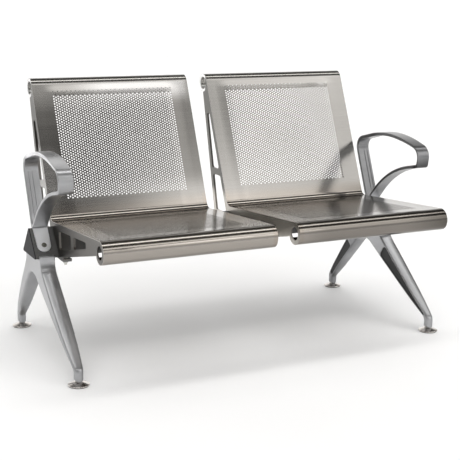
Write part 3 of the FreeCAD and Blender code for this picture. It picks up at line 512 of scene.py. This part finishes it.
# %% Turn mesh data into a piece
def new_piece(name, mesh, node, smooth_angle=35):
    """Put a mesh in the scene as a piece that stands for this node."""
    slot = slot_of[node]
    mesh.materials.clear()
    mesh.materials.append(finishes[slot])
    mesh.shade_smooth()
    mesh.set_sharp_from_angle(angle=math.radians(smooth_angle))
    piece = add_object(name, mesh)
    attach(piece, body_of[node])
    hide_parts(node)
    even = piece.modifiers.new("even_flats", "WEIGHTED_NORMAL")
    even.keep_sharp = True
    return piece


def mesh_from(name, points, faces):
    """A mesh from points in millimetres."""
    mesh = bpy.data.meshes.new(name)
    places = (np.asarray(points, float) * MM).tolist()
    mesh.from_pydata(places, [], [[int(k) for k in face] for face in faces])
    mesh.validate()
    return mesh


def outward(mesh):
    """Turn every face of a closed mesh outward."""
    work = bmesh.new()
    work.from_mesh(mesh)
    bmesh.ops.recalc_face_normals(work, faces=work.faces)
    work.to_mesh(mesh)
    work.free()
    return mesh


weld_distance, flat_angle, sharp_angle = 1e-6, math.radians(1), math.radians(30)


def softened(node, width):
    """A copy of a flat-sided piece with narrow bevels on its sharp edges."""
    work = bmesh.new()
    work.from_mesh(nodes[node].data)
    bmesh.ops.remove_doubles(work, verts=work.verts, dist=weld_distance)
    bmesh.ops.dissolve_limit(work, angle_limit=flat_angle, verts=work.verts, edges=work.edges)
    edges = [edge for edge in work.edges
             if len(edge.link_faces) == 2 and edge.calc_face_angle(0) > sharp_angle]
    bmesh.ops.bevel(work, geom=edges, offset=width * MM, offset_type="OFFSET", segments=2,
                    profile=0.5, affect="EDGES", clamp_overlap=True)
    mesh = bpy.data.meshes.new(node + "_soft")
    work.to_mesh(mesh)
    work.free()
    return new_piece(node + "_dressed", mesh, node)


bevel_widths = {"bracket": 0.5, "clamp": 0.6, "beam_cap": 0.6}
for name in sorted(nodes):
    for ending, width in bevel_widths.items():
        if name.endswith("_" + ending):
            print(name, "faces", len(softened(name, width).data.polygons))

# %% [markdown]
# The seats are the heart of the object: 1.5 mm sheet, rolled at the front of the seat and at
# the top of the back, with more than two thousand small holes in each panel. The holes let light
# through and show the floor, so they are cut as real holes. A boolean with thousands of tools
# would be slow and messy. Instead each hole comes with its own small tile of sheet. The
# columns of tiles are shifted by half a tile against each other, as in the real punching. A
# tile's rim has six points, and six faces join its sides with the twelve points of the hole.

# %% Section of the sheet
def arc_stations(centre, radius, start, end, steps, flip=1):
    """Points and outward directions along an arc, by degrees."""
    found = []
    for angle in np.radians(np.linspace(start, end, steps + 1)):
        direction = np.array((math.cos(angle), math.sin(angle)))
        found.append((centre + direction * radius, direction * flip))
    return found


sheet = 1.5
seat_left, seat_width = 34.5, 505.0
seat_right = seat_left + seat_width
bend_turn = math.radians(90 - lean_degrees + slope_degrees)
bend_set_back = bend_radius * math.tan(bend_turn / 2)
bend_centre = seat_bend + seat_way * bend_set_back + seat_face * bend_radius
front_curl_start, top_curl_end = 326.0, -68.0
hole_pitch, column_step, hole_columns, hole_radius = 8.06, 7.05, 55, 2.5
seat_holes_start, seat_holes_rows = 60.5, 41
back_holes_start, back_holes_rows = 61.0, 42
seat_holes_end = seat_holes_start + seat_holes_rows * hole_pitch
back_holes_end = back_holes_start + back_holes_rows * hole_pitch
flat_margin = 1.5
seat_stations = (seat_length - flat_margin, seat_holes_end, seat_holes_start, bend_set_back + flat_margin)
back_stations = (bend_set_back + flat_margin, back_holes_start, back_holes_end, back_length - flat_margin)

front_curl = arc_stations(front_roll, front_radius, front_curl_start, 90 - slope_degrees, 48)
seat_run = [(seat_bend + seat_way * distance, seat_face) for distance in seat_stations]
bend_run = arc_stations(bend_centre, bend_radius, 270 - slope_degrees, 360 - lean_degrees, 16, flip=-1)
back_run = [(seat_bend + back_way * distance, back_face) for distance in back_stations]
top_curl = arc_stations(top_roll, top_radius, 180 - lean_degrees, top_curl_end, 44)
section = front_curl + seat_run + bend_run + back_run + top_curl
seat_window = len(front_curl) + 1
back_window = len(front_curl) + len(seat_run) + len(bend_run) + 1
print("stations along the sheet:", len(section))

# %% Rolled and bent part of each sheet
hole_field = hole_columns * column_step
holes_left = (seat_left + seat_right - hole_field) / 2
holes_right = holes_left + hole_field


def plain_sheet():
    """The sheet with its rolls and margins, and a window where each perforated panel goes."""
    points, faces = [], []
    for x in (seat_left, holes_left, holes_right, seat_right):
        for depth in (0.0, sheet):
            for place, face in section:
                points.append((x, *(place - face * depth)))
    count = len(section)

    def corner(column, station, side):
        """The number of a point, by its line along the sheet, its station and its side."""
        return (column * 2 + side) * count + station

    def wall(first, second):
        """A face through the thickness of the sheet, between two places (column, station)."""
        faces.append([corner(*first, 0), corner(*second, 0), corner(*second, 1), corner(*first, 1)])

    last = count - 1
    for column in range(3):
        windows = [seat_window, back_window] if column == 1 else []
        for station in range(last):
            if station in windows:
                continue
            for side in (0, 1):
                quad = [corner(column, station, side), corner(column + 1, station, side),
                        corner(column + 1, station + 1, side), corner(column, station + 1, side)]
                faces.append(quad if side else quad[::-1])
        for end in [0, last] + [edge for window in windows for edge in (window, window + 1)]:
            wall((column, end), (column + 1, end))
    for station in range(last):
        for column in ((0, 3, 1, 2) if station in (seat_window, back_window) else (0, 3)):
            wall((column, station), (column, station + 1))
    return outward(mesh_from("plain_sheet", points, faces))


print("holes in X from", round(holes_left, 1), "to", round(holes_right, 1))

# %% One tile of perforated sheet, repeated
hole_sides = 12
half_w, half_h = column_step / 2, hole_pitch / 2
rim = [(half_w, 0), (half_w, half_h), (-half_w, half_h), (-half_w, 0), (-half_w, -half_h), (half_w, -half_h)]
ring = [(hole_radius * math.cos(angle), hole_radius * math.sin(angle))
        for angle in np.linspace(0, 2 * math.pi, hole_sides, endpoint=False)]
tile_faces = []
for k in range(len(rim)):
    beside = [len(rim) + m % hole_sides for m in (2 * k + 2, 2 * k + 1, 2 * k)]
    tile_faces.append([k, (k + 1) % len(rim)] + beside)


def perforated_panel(name, origin, way, face, rows):
    """Tiles with holes, in columns that are shifted by half a tile."""
    flat, faces, lookup = [], [], {}

    def shared(u, v):
        """The number of the point at this place, which neighbouring tiles share."""
        key = (round(u, 2), round(v, 2))
        if key not in lookup:
            lookup[key] = len(flat)
            flat.append((u, v))
        return lookup[key]

    for column in range(hole_columns):
        u = (column + 0.5) * column_step
        odd = column % 2
        for row in range(rows - odd):
            v = (row + 0.5 + 0.5 * odd) * hole_pitch
            index = [shared(u + du, v + dv) for du, dv in rim]
            first = len(flat)
            flat.extend((u + du, v + dv) for du, dv in ring)
            index += range(first, first + hole_sides)
            faces.extend([[index[k] for k in shape] for shape in tile_faces])
        if odd:
            for low in (0.0, (rows - 0.5) * hole_pitch):
                faces.append([shared(u - half_w, low), shared(u + half_w, low),
                              shared(u + half_w, low + half_h), shared(u - half_w, low + half_h)])
    flat = np.array(flat)
    count = len(flat)
    top = np.column_stack([holes_left + flat[:, 0], origin + flat[:, 1:] * way])
    points = np.concatenate([top, top - (0.0, *(face * sheet))])
    edges = dict.fromkeys(pair for shape in faces for pair in zip(shape, shape[1:] + shape[:1]))
    border = [(a, b) for a, b in edges if (b, a) not in edges]
    both = faces + [[count + k for k in shape[::-1]] for shape in faces]
    both += [[b, a, count + a, count + b] for a, b in border]
    return outward(mesh_from(name, points, both))


panels = {"plain_sheet": plain_sheet(),
          "seat_panel": perforated_panel("seat_panel", seat_bend + seat_way * seat_holes_start,
                                         seat_way, seat_face, seat_holes_rows),
          "back_panel": perforated_panel("back_panel", seat_bend + back_way * back_holes_start,
                                         back_way, back_face, back_holes_rows)}
for kind, mesh in panels.items():
    print(kind, "faces", len(mesh.polygons), "triangles", sum(len(p.vertices) - 2 for p in mesh.polygons))

# %% Seats on both sides
def both_sides(kind, mesh, node_kind, smooth_angle=35):
    """The right piece and its mirror image, which stand for the right and the left node."""
    mirrored = mesh.copy()
    mirrored.name = "left_" + kind
    mirrored.transform(Matrix.Scale(-1, 4, (1, 0, 0)))
    mirrored.flip_normals()
    return [new_piece(side + kind, form, side + node_kind, smooth_angle)
            for side, form in (("right_", mesh), ("left_", mirrored))]


for kind, mesh in panels.items():
    both_sides(kind, mesh, "seat_sheet")
print("seats in place")

# %% [markdown]
# The arm is a cast strip, bent into a loop, about 44 mm wide and 5 to 12 mm thick, with two
# grooves down its upright. A bevelled curve would keep one thickness all the way, so the strip
# is swept here: one rounded cross-section is repeated along the loop, and its thickness follows
# the inner and the outer outline. The grooves are part of the cross-section, and only sink
# where the upright is.

# %% Outlines with rounded corners
arc_points = 14


def rounded_line(corners, closed=True):
    """Runs of points along corners (y, z, radius): an arc at each, or one point for radius 0."""
    found = []
    count = len(corners)
    for index, (y, z, radius) in enumerate(corners):
        here = np.array((y, z))
        if radius <= 0 or (not closed and index in (0, count - 1)):
            found.append([here])
            continue
        before = np.array(corners[index - 1][:2]) - here
        after = np.array(corners[(index + 1) % count][:2]) - here
        before, after = before / np.linalg.norm(before), after / np.linalg.norm(after)
        half = math.acos(float(before @ after)) / 2
        middle = before + after
        centre = here + middle / np.linalg.norm(middle) * radius / math.sin(half)
        first = here + before * radius / math.tan(half) - centre
        last = here + after * radius / math.tan(half) - centre
        start = math.atan2(first[1], first[0])
        sweep = (math.atan2(last[1], last[0]) - start + math.pi) % (2 * math.pi) - math.pi
        found.append([centre + radius * np.array((math.cos(angle), math.sin(angle)))
                      for angle in np.linspace(start, start + sweep, arc_points)])
    return found


def shifted(corners):
    """Corners with their depth taken from the middle of the bench."""
    return [(y + depth_shift, z, radius) for y, z, radius in corners]


arm_outer = shifted([(351.79, 367.11, 0), (433.8, 565.5, 40.0), (262.0, 608.5, 400.0),
                     (150.0, 594.5, 500.0), (61.8, 570.5, 38.0), (72.3, 512.0, 12.0),
                     (237.0, 480.5, 353.0), (330.0, 372.5, 0)])
arm_inner = shifted([(342.6, 370.0, 0), (420.34, 556.5, 29.5), (261.39, 598.35, 390.0),
                     (137.85, 582.9, 491.0), (68.28, 565.53, 32.0), (76.0, 522.49, 6.0),
                     (240.45, 486.46, 359.5), (338.0, 374.5, 0)])
outer_runs = rounded_line(arm_outer, closed=False)
inner_runs = rounded_line(arm_inner, closed=False)
print("corners of the loop:", len(outer_runs))

# %% Stations along the loop
station_gap = 14.0


def joined_runs(runs, steps):
    """One list of points, with even extra points along each straight run between the arcs."""
    line = [runs[0]]
    for run, following, count in zip(runs, runs[1:], steps):
        line += [np.linspace(run[-1], following[0], count + 1)[1:-1], following]
    return np.concatenate(line)


straight_steps = [max(2, round(np.linalg.norm(after[0] - run[-1]) / station_gap))
                  for run, after in zip(outer_runs, outer_runs[1:])]
outer_line = joined_runs(outer_runs, straight_steps)
inner_line = joined_runs(inner_runs, straight_steps)
print("stations along the arm:", len(outer_line), len(inner_line))

# %% Cross-section of the strip
arm_plane, arm_half_width, strip_rounding = 577.0, 22.0, 2.6
groove_places, groove_half, groove_wall, groove_sink = (11.5, 0.0), 1.7, 0.9, 1.9
groove_start, groove_end, groove_run_out = 26.0, 168.0, 4.0
inner_flat_places = (-10.0, 0.0, 10.0)


def strip_section():
    """Cross-section points: x, share of the thickness, offset from that side, groove depth."""
    flat_half = arm_half_width - strip_rounding
    to_side = np.radians(np.linspace(0, 90, 6))

    def rounded_corner(side, share, angles):
        """The points of one rounded corner, on one side of the strip and one of its faces."""
        away = 1 - 2 * share
        return [(side * (flat_half + strip_rounding * math.sin(angle)), share,
                 away * strip_rounding * (1 - math.cos(angle)), 0) for angle in angles]

    grooves = []
    for centre in groove_places:
        for offset, depth in ((groove_half + groove_wall, 0), (groove_half, 1),
                              (-groove_half, 1), (-groove_half - groove_wall, 0)):
            grooves.append((centre + offset, 1, 0, depth))
    return (rounded_corner(1, 0, to_side) + rounded_corner(1, 1, to_side[::-1]) + grooves
            + rounded_corner(-1, 1, to_side) + rounded_corner(-1, 0, to_side[::-1])
            + [(x, 0, 0, 0) for x in inner_flat_places])


print("points in the cross-section:", len(strip_section()))

# %% Sweep of the arm's strip
def skin_of_rings(name, points, size, closed=False):
    """A closed form from rings of this many points: capped at its ends, or joined end to end."""
    count = len(points) // size
    faces = []
    for ring_number in range(count if closed else count - 1):
        here, there = ring_number * size, (ring_number + 1) % count * size
        for k in range(size):
            following = (k + 1) % size
            faces.append([here + k, here + following, there + following, there + k])
    if not closed:
        faces += [range(size), range(len(points) - size, len(points))]
    return outward(mesh_from(name, points, faces))


def swept_strip():
    """The cross-section at every station of the loop, with grooves where the upright is."""
    section_points = strip_section()
    points = []
    travelled = np.concatenate([[0], np.cumsum(np.linalg.norm(np.diff(inner_line, axis=0), axis=1))])
    for outer, inner, distance in zip(outer_line, inner_line, travelled):
        across = (inner - outer) / np.linalg.norm(inner - outer)
        to_end = min(distance - groove_start, groove_end - distance)
        sink = groove_sink * min(max(to_end / groove_run_out, 0.0), 1.0)
        for x, share, offset, groove in section_points:
            y, z = outer + (inner - outer) * share + across * (offset - groove * sink)
            points.append((arm_plane + x, y, z))
    return skin_of_rings("arm_strip", points, len(section_points))


strip_mesh = swept_strip()
print("arm strip faces:", len(strip_mesh.polygons))

# %% [markdown]
# At its foot the arm sits astride the beam: a saddle with one tongue down each slanted face,
# round at the end about its screw. The tongues and the strip are made as closed forms and
# joined with booleans, then the beam's own triangle and the screw sinks are cut away.

# %% Tongues, and the tools that cut them
beam_middle, beam_top, beam_floor, beam_half = 340.8, 371.0, 289.5, 67.3
beam_apex = np.array((beam_middle + depth_shift, beam_top))
beam_height = beam_top - beam_floor
slant_length = math.hypot(beam_half, beam_height)
slant_y, slant_z = beam_half / slant_length, beam_height / slant_length
saddle, tongue_length, tongue_half, tongue_end = 6.0, 83.5, 22.0, 20.25
rim_rounding, tongue_root, prism_half = 1.5, -3.0, 30.0
sink_profile = [(4.2, -2.0), (4.2, saddle - 4.4), (7.7, saddle), (7.7, saddle + 2.0)]
screw_drop = tongue_length - tongue_end
end_points, sink_points = 33, 48


def slant_place(face, drop, rise):
    """Side-view place down a slanted face of the beam and out from it."""
    down, out = np.array((face * slant_y, -slant_z)), np.array((face * slant_z, slant_y))
    return beam_apex + down * drop + out * rise


def tongue_mesh(face):
    """One tongue: an outline with a round end, raised off the beam, with a soft outer rim."""
    tongue_top = -saddle * slant_z / slant_y
    layers = [(tongue_root, 0.0)]
    layers += [(saddle - rim_rounding * (1 - math.sin(angle)), rim_rounding * (1 - math.cos(angle)))
               for angle in np.radians((0, 30, 60, 90))]
    points = []
    for rise, inset in layers:
        radius = tongue_end - inset
        outline = [(tongue_half, tongue_top), (-tongue_half, tongue_top)]
        outline += [(-radius * math.cos(angle), screw_drop + radius * math.sin(angle))
                    for angle in np.linspace(0, math.pi, end_points)]
        points += [(arm_plane + x, *slant_place(face, drop, rise)) for x, drop in outline]
    return skin_of_rings("arm_tongue", points, len(outline))


def screw_sink(face):
    """A countersink and its bore, as one closed turned form."""
    angles = np.linspace(0, 2 * math.pi, sink_points, endpoint=False)
    points = [(arm_plane + radius * math.cos(angle),
               *slant_place(face, screw_drop + radius * math.sin(angle), rise))
              for radius, rise in sink_profile for angle in angles]
    return skin_of_rings("screw_sink", points, len(angles))


def beam_prism():
    """The beam's outer triangle, as a cutting tool that is wider than the arm."""
    corners = [(beam_apex[0] - beam_half, beam_floor), (beam_apex[0] + beam_half, beam_floor), beam_apex]
    points = [(arm_plane + x, y, z) for x in (-prism_half, prism_half) for y, z in corners]
    return skin_of_rings("beam_prism", points, len(corners))


print("screw on the tongue, down from the apex:", screw_drop)

# %% Join and cut the arm
def combined(base, steps):
    """A mesh after a list of booleans, each with its operation."""
    work = add_object("work", base)
    tools = []
    for operation, mesh in steps:
        modifier = work.modifiers.new(operation, "BOOLEAN")
        modifier.operation = operation
        modifier.solver = "EXACT"
        modifier.object = add_object("tool", mesh)
        tools.append(modifier.object)
    bpy.context.view_layer.update()
    shaped = bpy.data.meshes.new_from_object(work.evaluated_get(bpy.context.evaluated_depsgraph_get()))
    for extra in [work] + tools:
        bpy.data.objects.remove(extra)
    return shaped


arm_mesh = combined(strip_mesh, [("UNION", tongue_mesh(-1)), ("UNION", tongue_mesh(1)),
                                 ("DIFFERENCE", beam_prism()), ("DIFFERENCE", screw_sink(-1)),
                                 ("DIFFERENCE", screw_sink(1))])
arm_mesh.name = "right_cast_arm"
both_sides("cast_arm", arm_mesh, "arm", smooth_angle=30)
print("arm faces:", len(arm_mesh.polygons))

# %% [markdown]
# The legs are the other castings: two limbs that flow into one head under the beam, with every
# edge well rounded and a shallow recess on the inner side. A form like this can be carved from
# a field of distances. At each point of a fine grid a number says how far the surface is:
# below zero inside, above zero outside. Rounding an edge, sinking a recess and drilling a bore
# are then one line of sums each. The skin where the number is zero becomes the mesh.

# %% Distances in the side view
def outline_distance(ys, zs, corners):
    """Signed distance from each grid place to a closed outline, negative inside."""
    y, z = np.meshgrid(ys, zs, indexing="ij")
    nearest = np.full(y.shape, np.inf)
    inside = np.zeros(y.shape, bool)
    outline = np.concatenate(rounded_line(corners))
    for (ay, az), (by, bz) in zip(outline, np.roll(outline, -1, axis=0)):
        run_y, run_z = by - ay, bz - az
        length_squared = run_y ** 2 + run_z ** 2
        share = np.clip(((y - ay) * run_y + (z - az) * run_z) / length_squared, 0, 1)
        nearest = np.minimum(nearest, (y - ay - share * run_y) ** 2 + (z - az - share * run_z) ** 2)
        if az != bz:
            crosses = (az > z) != (bz > z)
            inside ^= crosses & (y < ay + (z - az) / (bz - az) * run_y)
    return np.where(inside, -1, 1) * np.sqrt(nearest)


def rounded_edge(first, second, radius):
    """Distance to where two solids overlap, with the edge between them rounded."""
    a, b = first + radius, second + radius
    return np.minimum(np.maximum(a, b), 0) + np.hypot(np.maximum(a, 0), np.maximum(b, 0)) - radius


def bore_distance(xs, ys, zs, y, radius, low, high):
    """Distance from each grid place to an upright bore in the middle of the leg."""
    out = np.hypot(xs[:, None], (ys - y - depth_shift)[None, :]) - radius
    ends = np.maximum(low - zs, zs - high)
    return np.maximum(out[:, :, None], ends[None, None, :])


print("rounded edge 1 mm out on both sides:", round(float(rounded_edge(1.0, 1.0, 3.0)), 2), "mm away")

# %% [markdown]
# The skin is found cell by cell. A cell of the grid that has corners inside and outside gets
# one point, at the mean of the places where the surface crosses its edges. Every crossed edge
# then gives one face, between the points of the four cells round it.

# %% Skin of a field
def field_skin(field, origin, step):
    """Points and faces of the surface where a field on a grid is zero."""
    inside = field < 0
    shape = np.array(field.shape)
    total = np.zeros(shape - 1, np.int8)
    for i, j, k in itertools.product((0, 1), repeat=3):
        total += inside[i:shape[0] - 1 + i, j:shape[1] - 1 + j, k:shape[2] - 1 + k]
    mixed = (total > 0) & (total < 8)
    cells = np.argwhere(mixed)
    number = np.full(mixed.shape, -1)
    number[mixed] = np.arange(len(cells))
    sums, hits = np.zeros((len(cells), 3)), np.zeros(len(cells))
    faces = []
    for axis in range(3):
        along = np.eye(3, dtype=int)[axis]
        first, second = np.eye(3, dtype=int)[(axis + 1) % 3], np.eye(3, dtype=int)[(axis + 2) % 3]
        for a, b in itertools.product((0, 1), repeat=2):
            start = first * a + second * b
            low = field[tuple((cells + start).T)]
            high = field[tuple((cells + start + along).T)]
            crossed = (low < 0) != (high < 0)
            share = low[crossed] / (low[crossed] - high[crossed])
            sums[crossed] += start + share[:, None] * along
            hits[crossed] += 1
        near = tuple(slice(0, n - 1) if k == axis else slice(1, n - 1) for k, n in enumerate(shape))
        far = tuple(slice(1, n) if k == axis else slice(1, n - 1) for k, n in enumerate(shape))
        edges = np.argwhere(inside[near] != inside[far]) + first + second
        solid_low = inside[tuple(edges.T)]
        quad = np.stack([number[tuple((edges - first * a - second * b).T)]
                         for a, b in ((1, 1), (0, 1), (0, 0), (1, 0))], axis=1)
        quad[~solid_low] = quad[~solid_low][:, ::-1]
        faces.append(quad)
    points = np.asarray(origin) + (cells + sums / hits[:, None]) * step
    return points, np.concatenate(faces)


test_cube = np.max(np.abs(np.indices((6, 6, 6)) - 2.5), axis=0) - 1.0
print("faces of a small test cube:", len(field_skin(test_cube, (0, 0, 0), 1.0)[1]))

# %% Sizes of a leg
front_foot, rear_foot = 0.0, 580.0
foot_half, foot_bottom, head_top = 12.5, 11.3, 298.5
slant_at_top = beam_half * (beam_top - head_top) / beam_height
leg_side = shifted([
    (front_foot - foot_half, foot_bottom, 0), (front_foot + foot_half, foot_bottom, 0),
    (front_foot + foot_half, 42.3, 16.0), (362.8, 249.5, 72.0), (rear_foot - foot_half, 38.3, 16.0),
    (rear_foot - foot_half, foot_bottom, 0), (rear_foot + foot_half, foot_bottom, 0),
    (rear_foot + foot_half, 45.3, 26.0), (418.1, 265.5, 30.0), (416.1, head_top, 0),
    (beam_middle + slant_at_top, head_top, 0), (beam_middle + beam_half, beam_floor, 0),
    (beam_middle - beam_half, beam_floor, 0), (beam_middle - slant_at_top, head_top, 0),
    (265.5, head_top, 0), (261.5, 262.5, 45.0), (front_foot - foot_half, 45.3, 26.0)])
leg_pockets = [shifted([(6.61, 52.81, 6.0), (10.05, 47.8, 6.0), (254.0, 192.1, 9.0), (230.0, 229.9, 12.0)]),
               shifted([(575.56, 57.04, 6.0), (565.89, 48.57, 6.0),
                        (434.26, 184.38, 6.0), (458.13, 205.31, 6.0)])]
width_heights = [foot_bottom, 38.0, 62.0, 88.0, 121.0, 155.0, 189.5, head_top]
half_widths = [12.5, 12.8, 15.6, 18.6, 20.4, 21.6, 22.5, 22.5]
rounding_heights = [foot_bottom, 40.0, 62.0, 110.0, 235.0, 275.0, head_top]
roundings = [10.5, 10.5, 6.5, 4.5, 4.0, 3.2, 3.0]
crowns = [0.0, 0.0, 2.0, 3.2, 3.2, 1.0, 0.0]
pocket_depth, pocket_rounding = 4.0, 2.5
insert_bore, stem_bore = (8.0, 0.0, 31.3), (6.0, 0.0, 42.3)
bolt_bore, bolt_head_bore = (5.2, 0.0, 320.0), (9.0, 183.5, 263.5)
bolt_spread = 30.0
leg_bores = [(y, *bore) for y in (front_foot, rear_foot) for bore in (insert_bore, stem_bore)]
leg_bores += [(y, *bore) for y in (beam_middle - bolt_spread, beam_middle + bolt_spread)
              for bore in (bolt_bore, bolt_head_bore)]
print("bores in a leg:", len(leg_bores))

# %% Carve a leg
grid_step = 1.6
grid_low = (-26.0, -20.0 + depth_shift, 5.0)
grid_high = (26.0, 600.0 + depth_shift, 304.0)
mouth_margin, least_sunk, floor_margin = 0.6, 1.6, 3.0


def carved_leg():
    """A leg with crowned sides, rounded edges, recesses and bores, and its recess floors marked."""
    xs, ys, zs = [np.arange(low, high + grid_step, grid_step) for low, high in zip(grid_low, grid_high)]
    width = np.interp(zs, width_heights, half_widths)
    radius = np.interp(zs, rounding_heights, roundings)
    crown = np.interp(zs, rounding_heights, crowns)
    flank = np.abs(xs)[:, None, None] - width
    bow = np.minimum(np.abs(xs)[:, None, None] / width, 1) ** 2 * crown
    field = rounded_edge(outline_distance(ys, zs, leg_side) + bow, flank, radius)
    mouths = np.minimum(*(outline_distance(ys, zs, pocket) for pocket in leg_pockets))
    floor_gap = xs[:, None, None] + width - pocket_depth
    field = np.maximum(field, -rounded_edge(mouths, floor_gap, pocket_rounding))
    for bore in leg_bores:
        field = np.maximum(field, -bore_distance(xs, ys, zs, *bore))
    points, faces = field_skin(field, (xs[0], ys[0], zs[0]), grid_step)
    cell = np.round((points[:, 1:] - (ys[0], zs[0])) / grid_step).astype(int)
    sunk = points[:, 0] + np.interp(points[:, 2], width_heights, half_widths)
    in_pocket = mouths[tuple(cell.T)] < mouth_margin
    in_pocket &= (sunk > least_sunk) & (sunk < pocket_depth + floor_margin)
    points[:, 0] += arm_plane
    mesh = outward(mesh_from("cast_leg", points, faces))
    mesh.attributes.new("as_cast", "FLOAT", "POINT").data.foreach_set("value", in_pocket.astype(np.float32))
    return mesh


leg_mesh = carved_leg()
for piece in both_sides("cast_leg", leg_mesh, "leg", smooth_angle=50):
    calm = piece.modifiers.new("calm", "SMOOTH")
    calm.factor = 0.5
    calm.iterations = 4
    # The shape is calmed first, and only then are its flats shaded evenly.
    piece.modifiers.move(1, 0)
print("leg faces:", len(leg_mesh.polygons))

# %% [markdown]
# Each foot is a chromed dome, made on a lathe: a flat rim, a step and a soft crown. A turned
# form is a profile spun round an axis. A Screw modifier could spin it, but the helper for
# closed rings is here already. The profile is drawn with the small roundings that chrome shows
# as bright lines.

# %% Turned feet
foot_profile = [(5.08, 5.0), (5.08, 10.6), (5.5, 11.0), (9.0, 11.0), (10.0, 10.9), (13.5, 10.2), (18.0, 8.8),
                (22.5, 7.2), (26.5, 5.9), (28.6, 5.3), (29.5, 4.8), (29.95, 4.0), (30.0, 3.2),
                (29.8, 2.5), (29.3, 2.1), (28.0, 2.0), (5.08, 2.0)]


turn_steps = 72


def turned(name, profile, centre):
    """A closed turned form from (radius, height) points."""
    points = [(centre[0] + radius * math.cos(angle), centre[1] + radius * math.sin(angle), height)
              for angle in np.linspace(0, 2 * math.pi, turn_steps, endpoint=False)
              for radius, height in profile]
    return skin_of_rings(name, points, len(profile), closed=True)


for end, y in (("front", front_foot), ("rear", rear_foot)):
    foot = turned("right_" + end + "_foot", foot_profile, (arm_plane, y + depth_shift))
    both_sides(end + "_glide_dome", foot, end + "_glide_pad", smooth_angle=40)
    print(end, "foot faces:", len(foot.polygons))
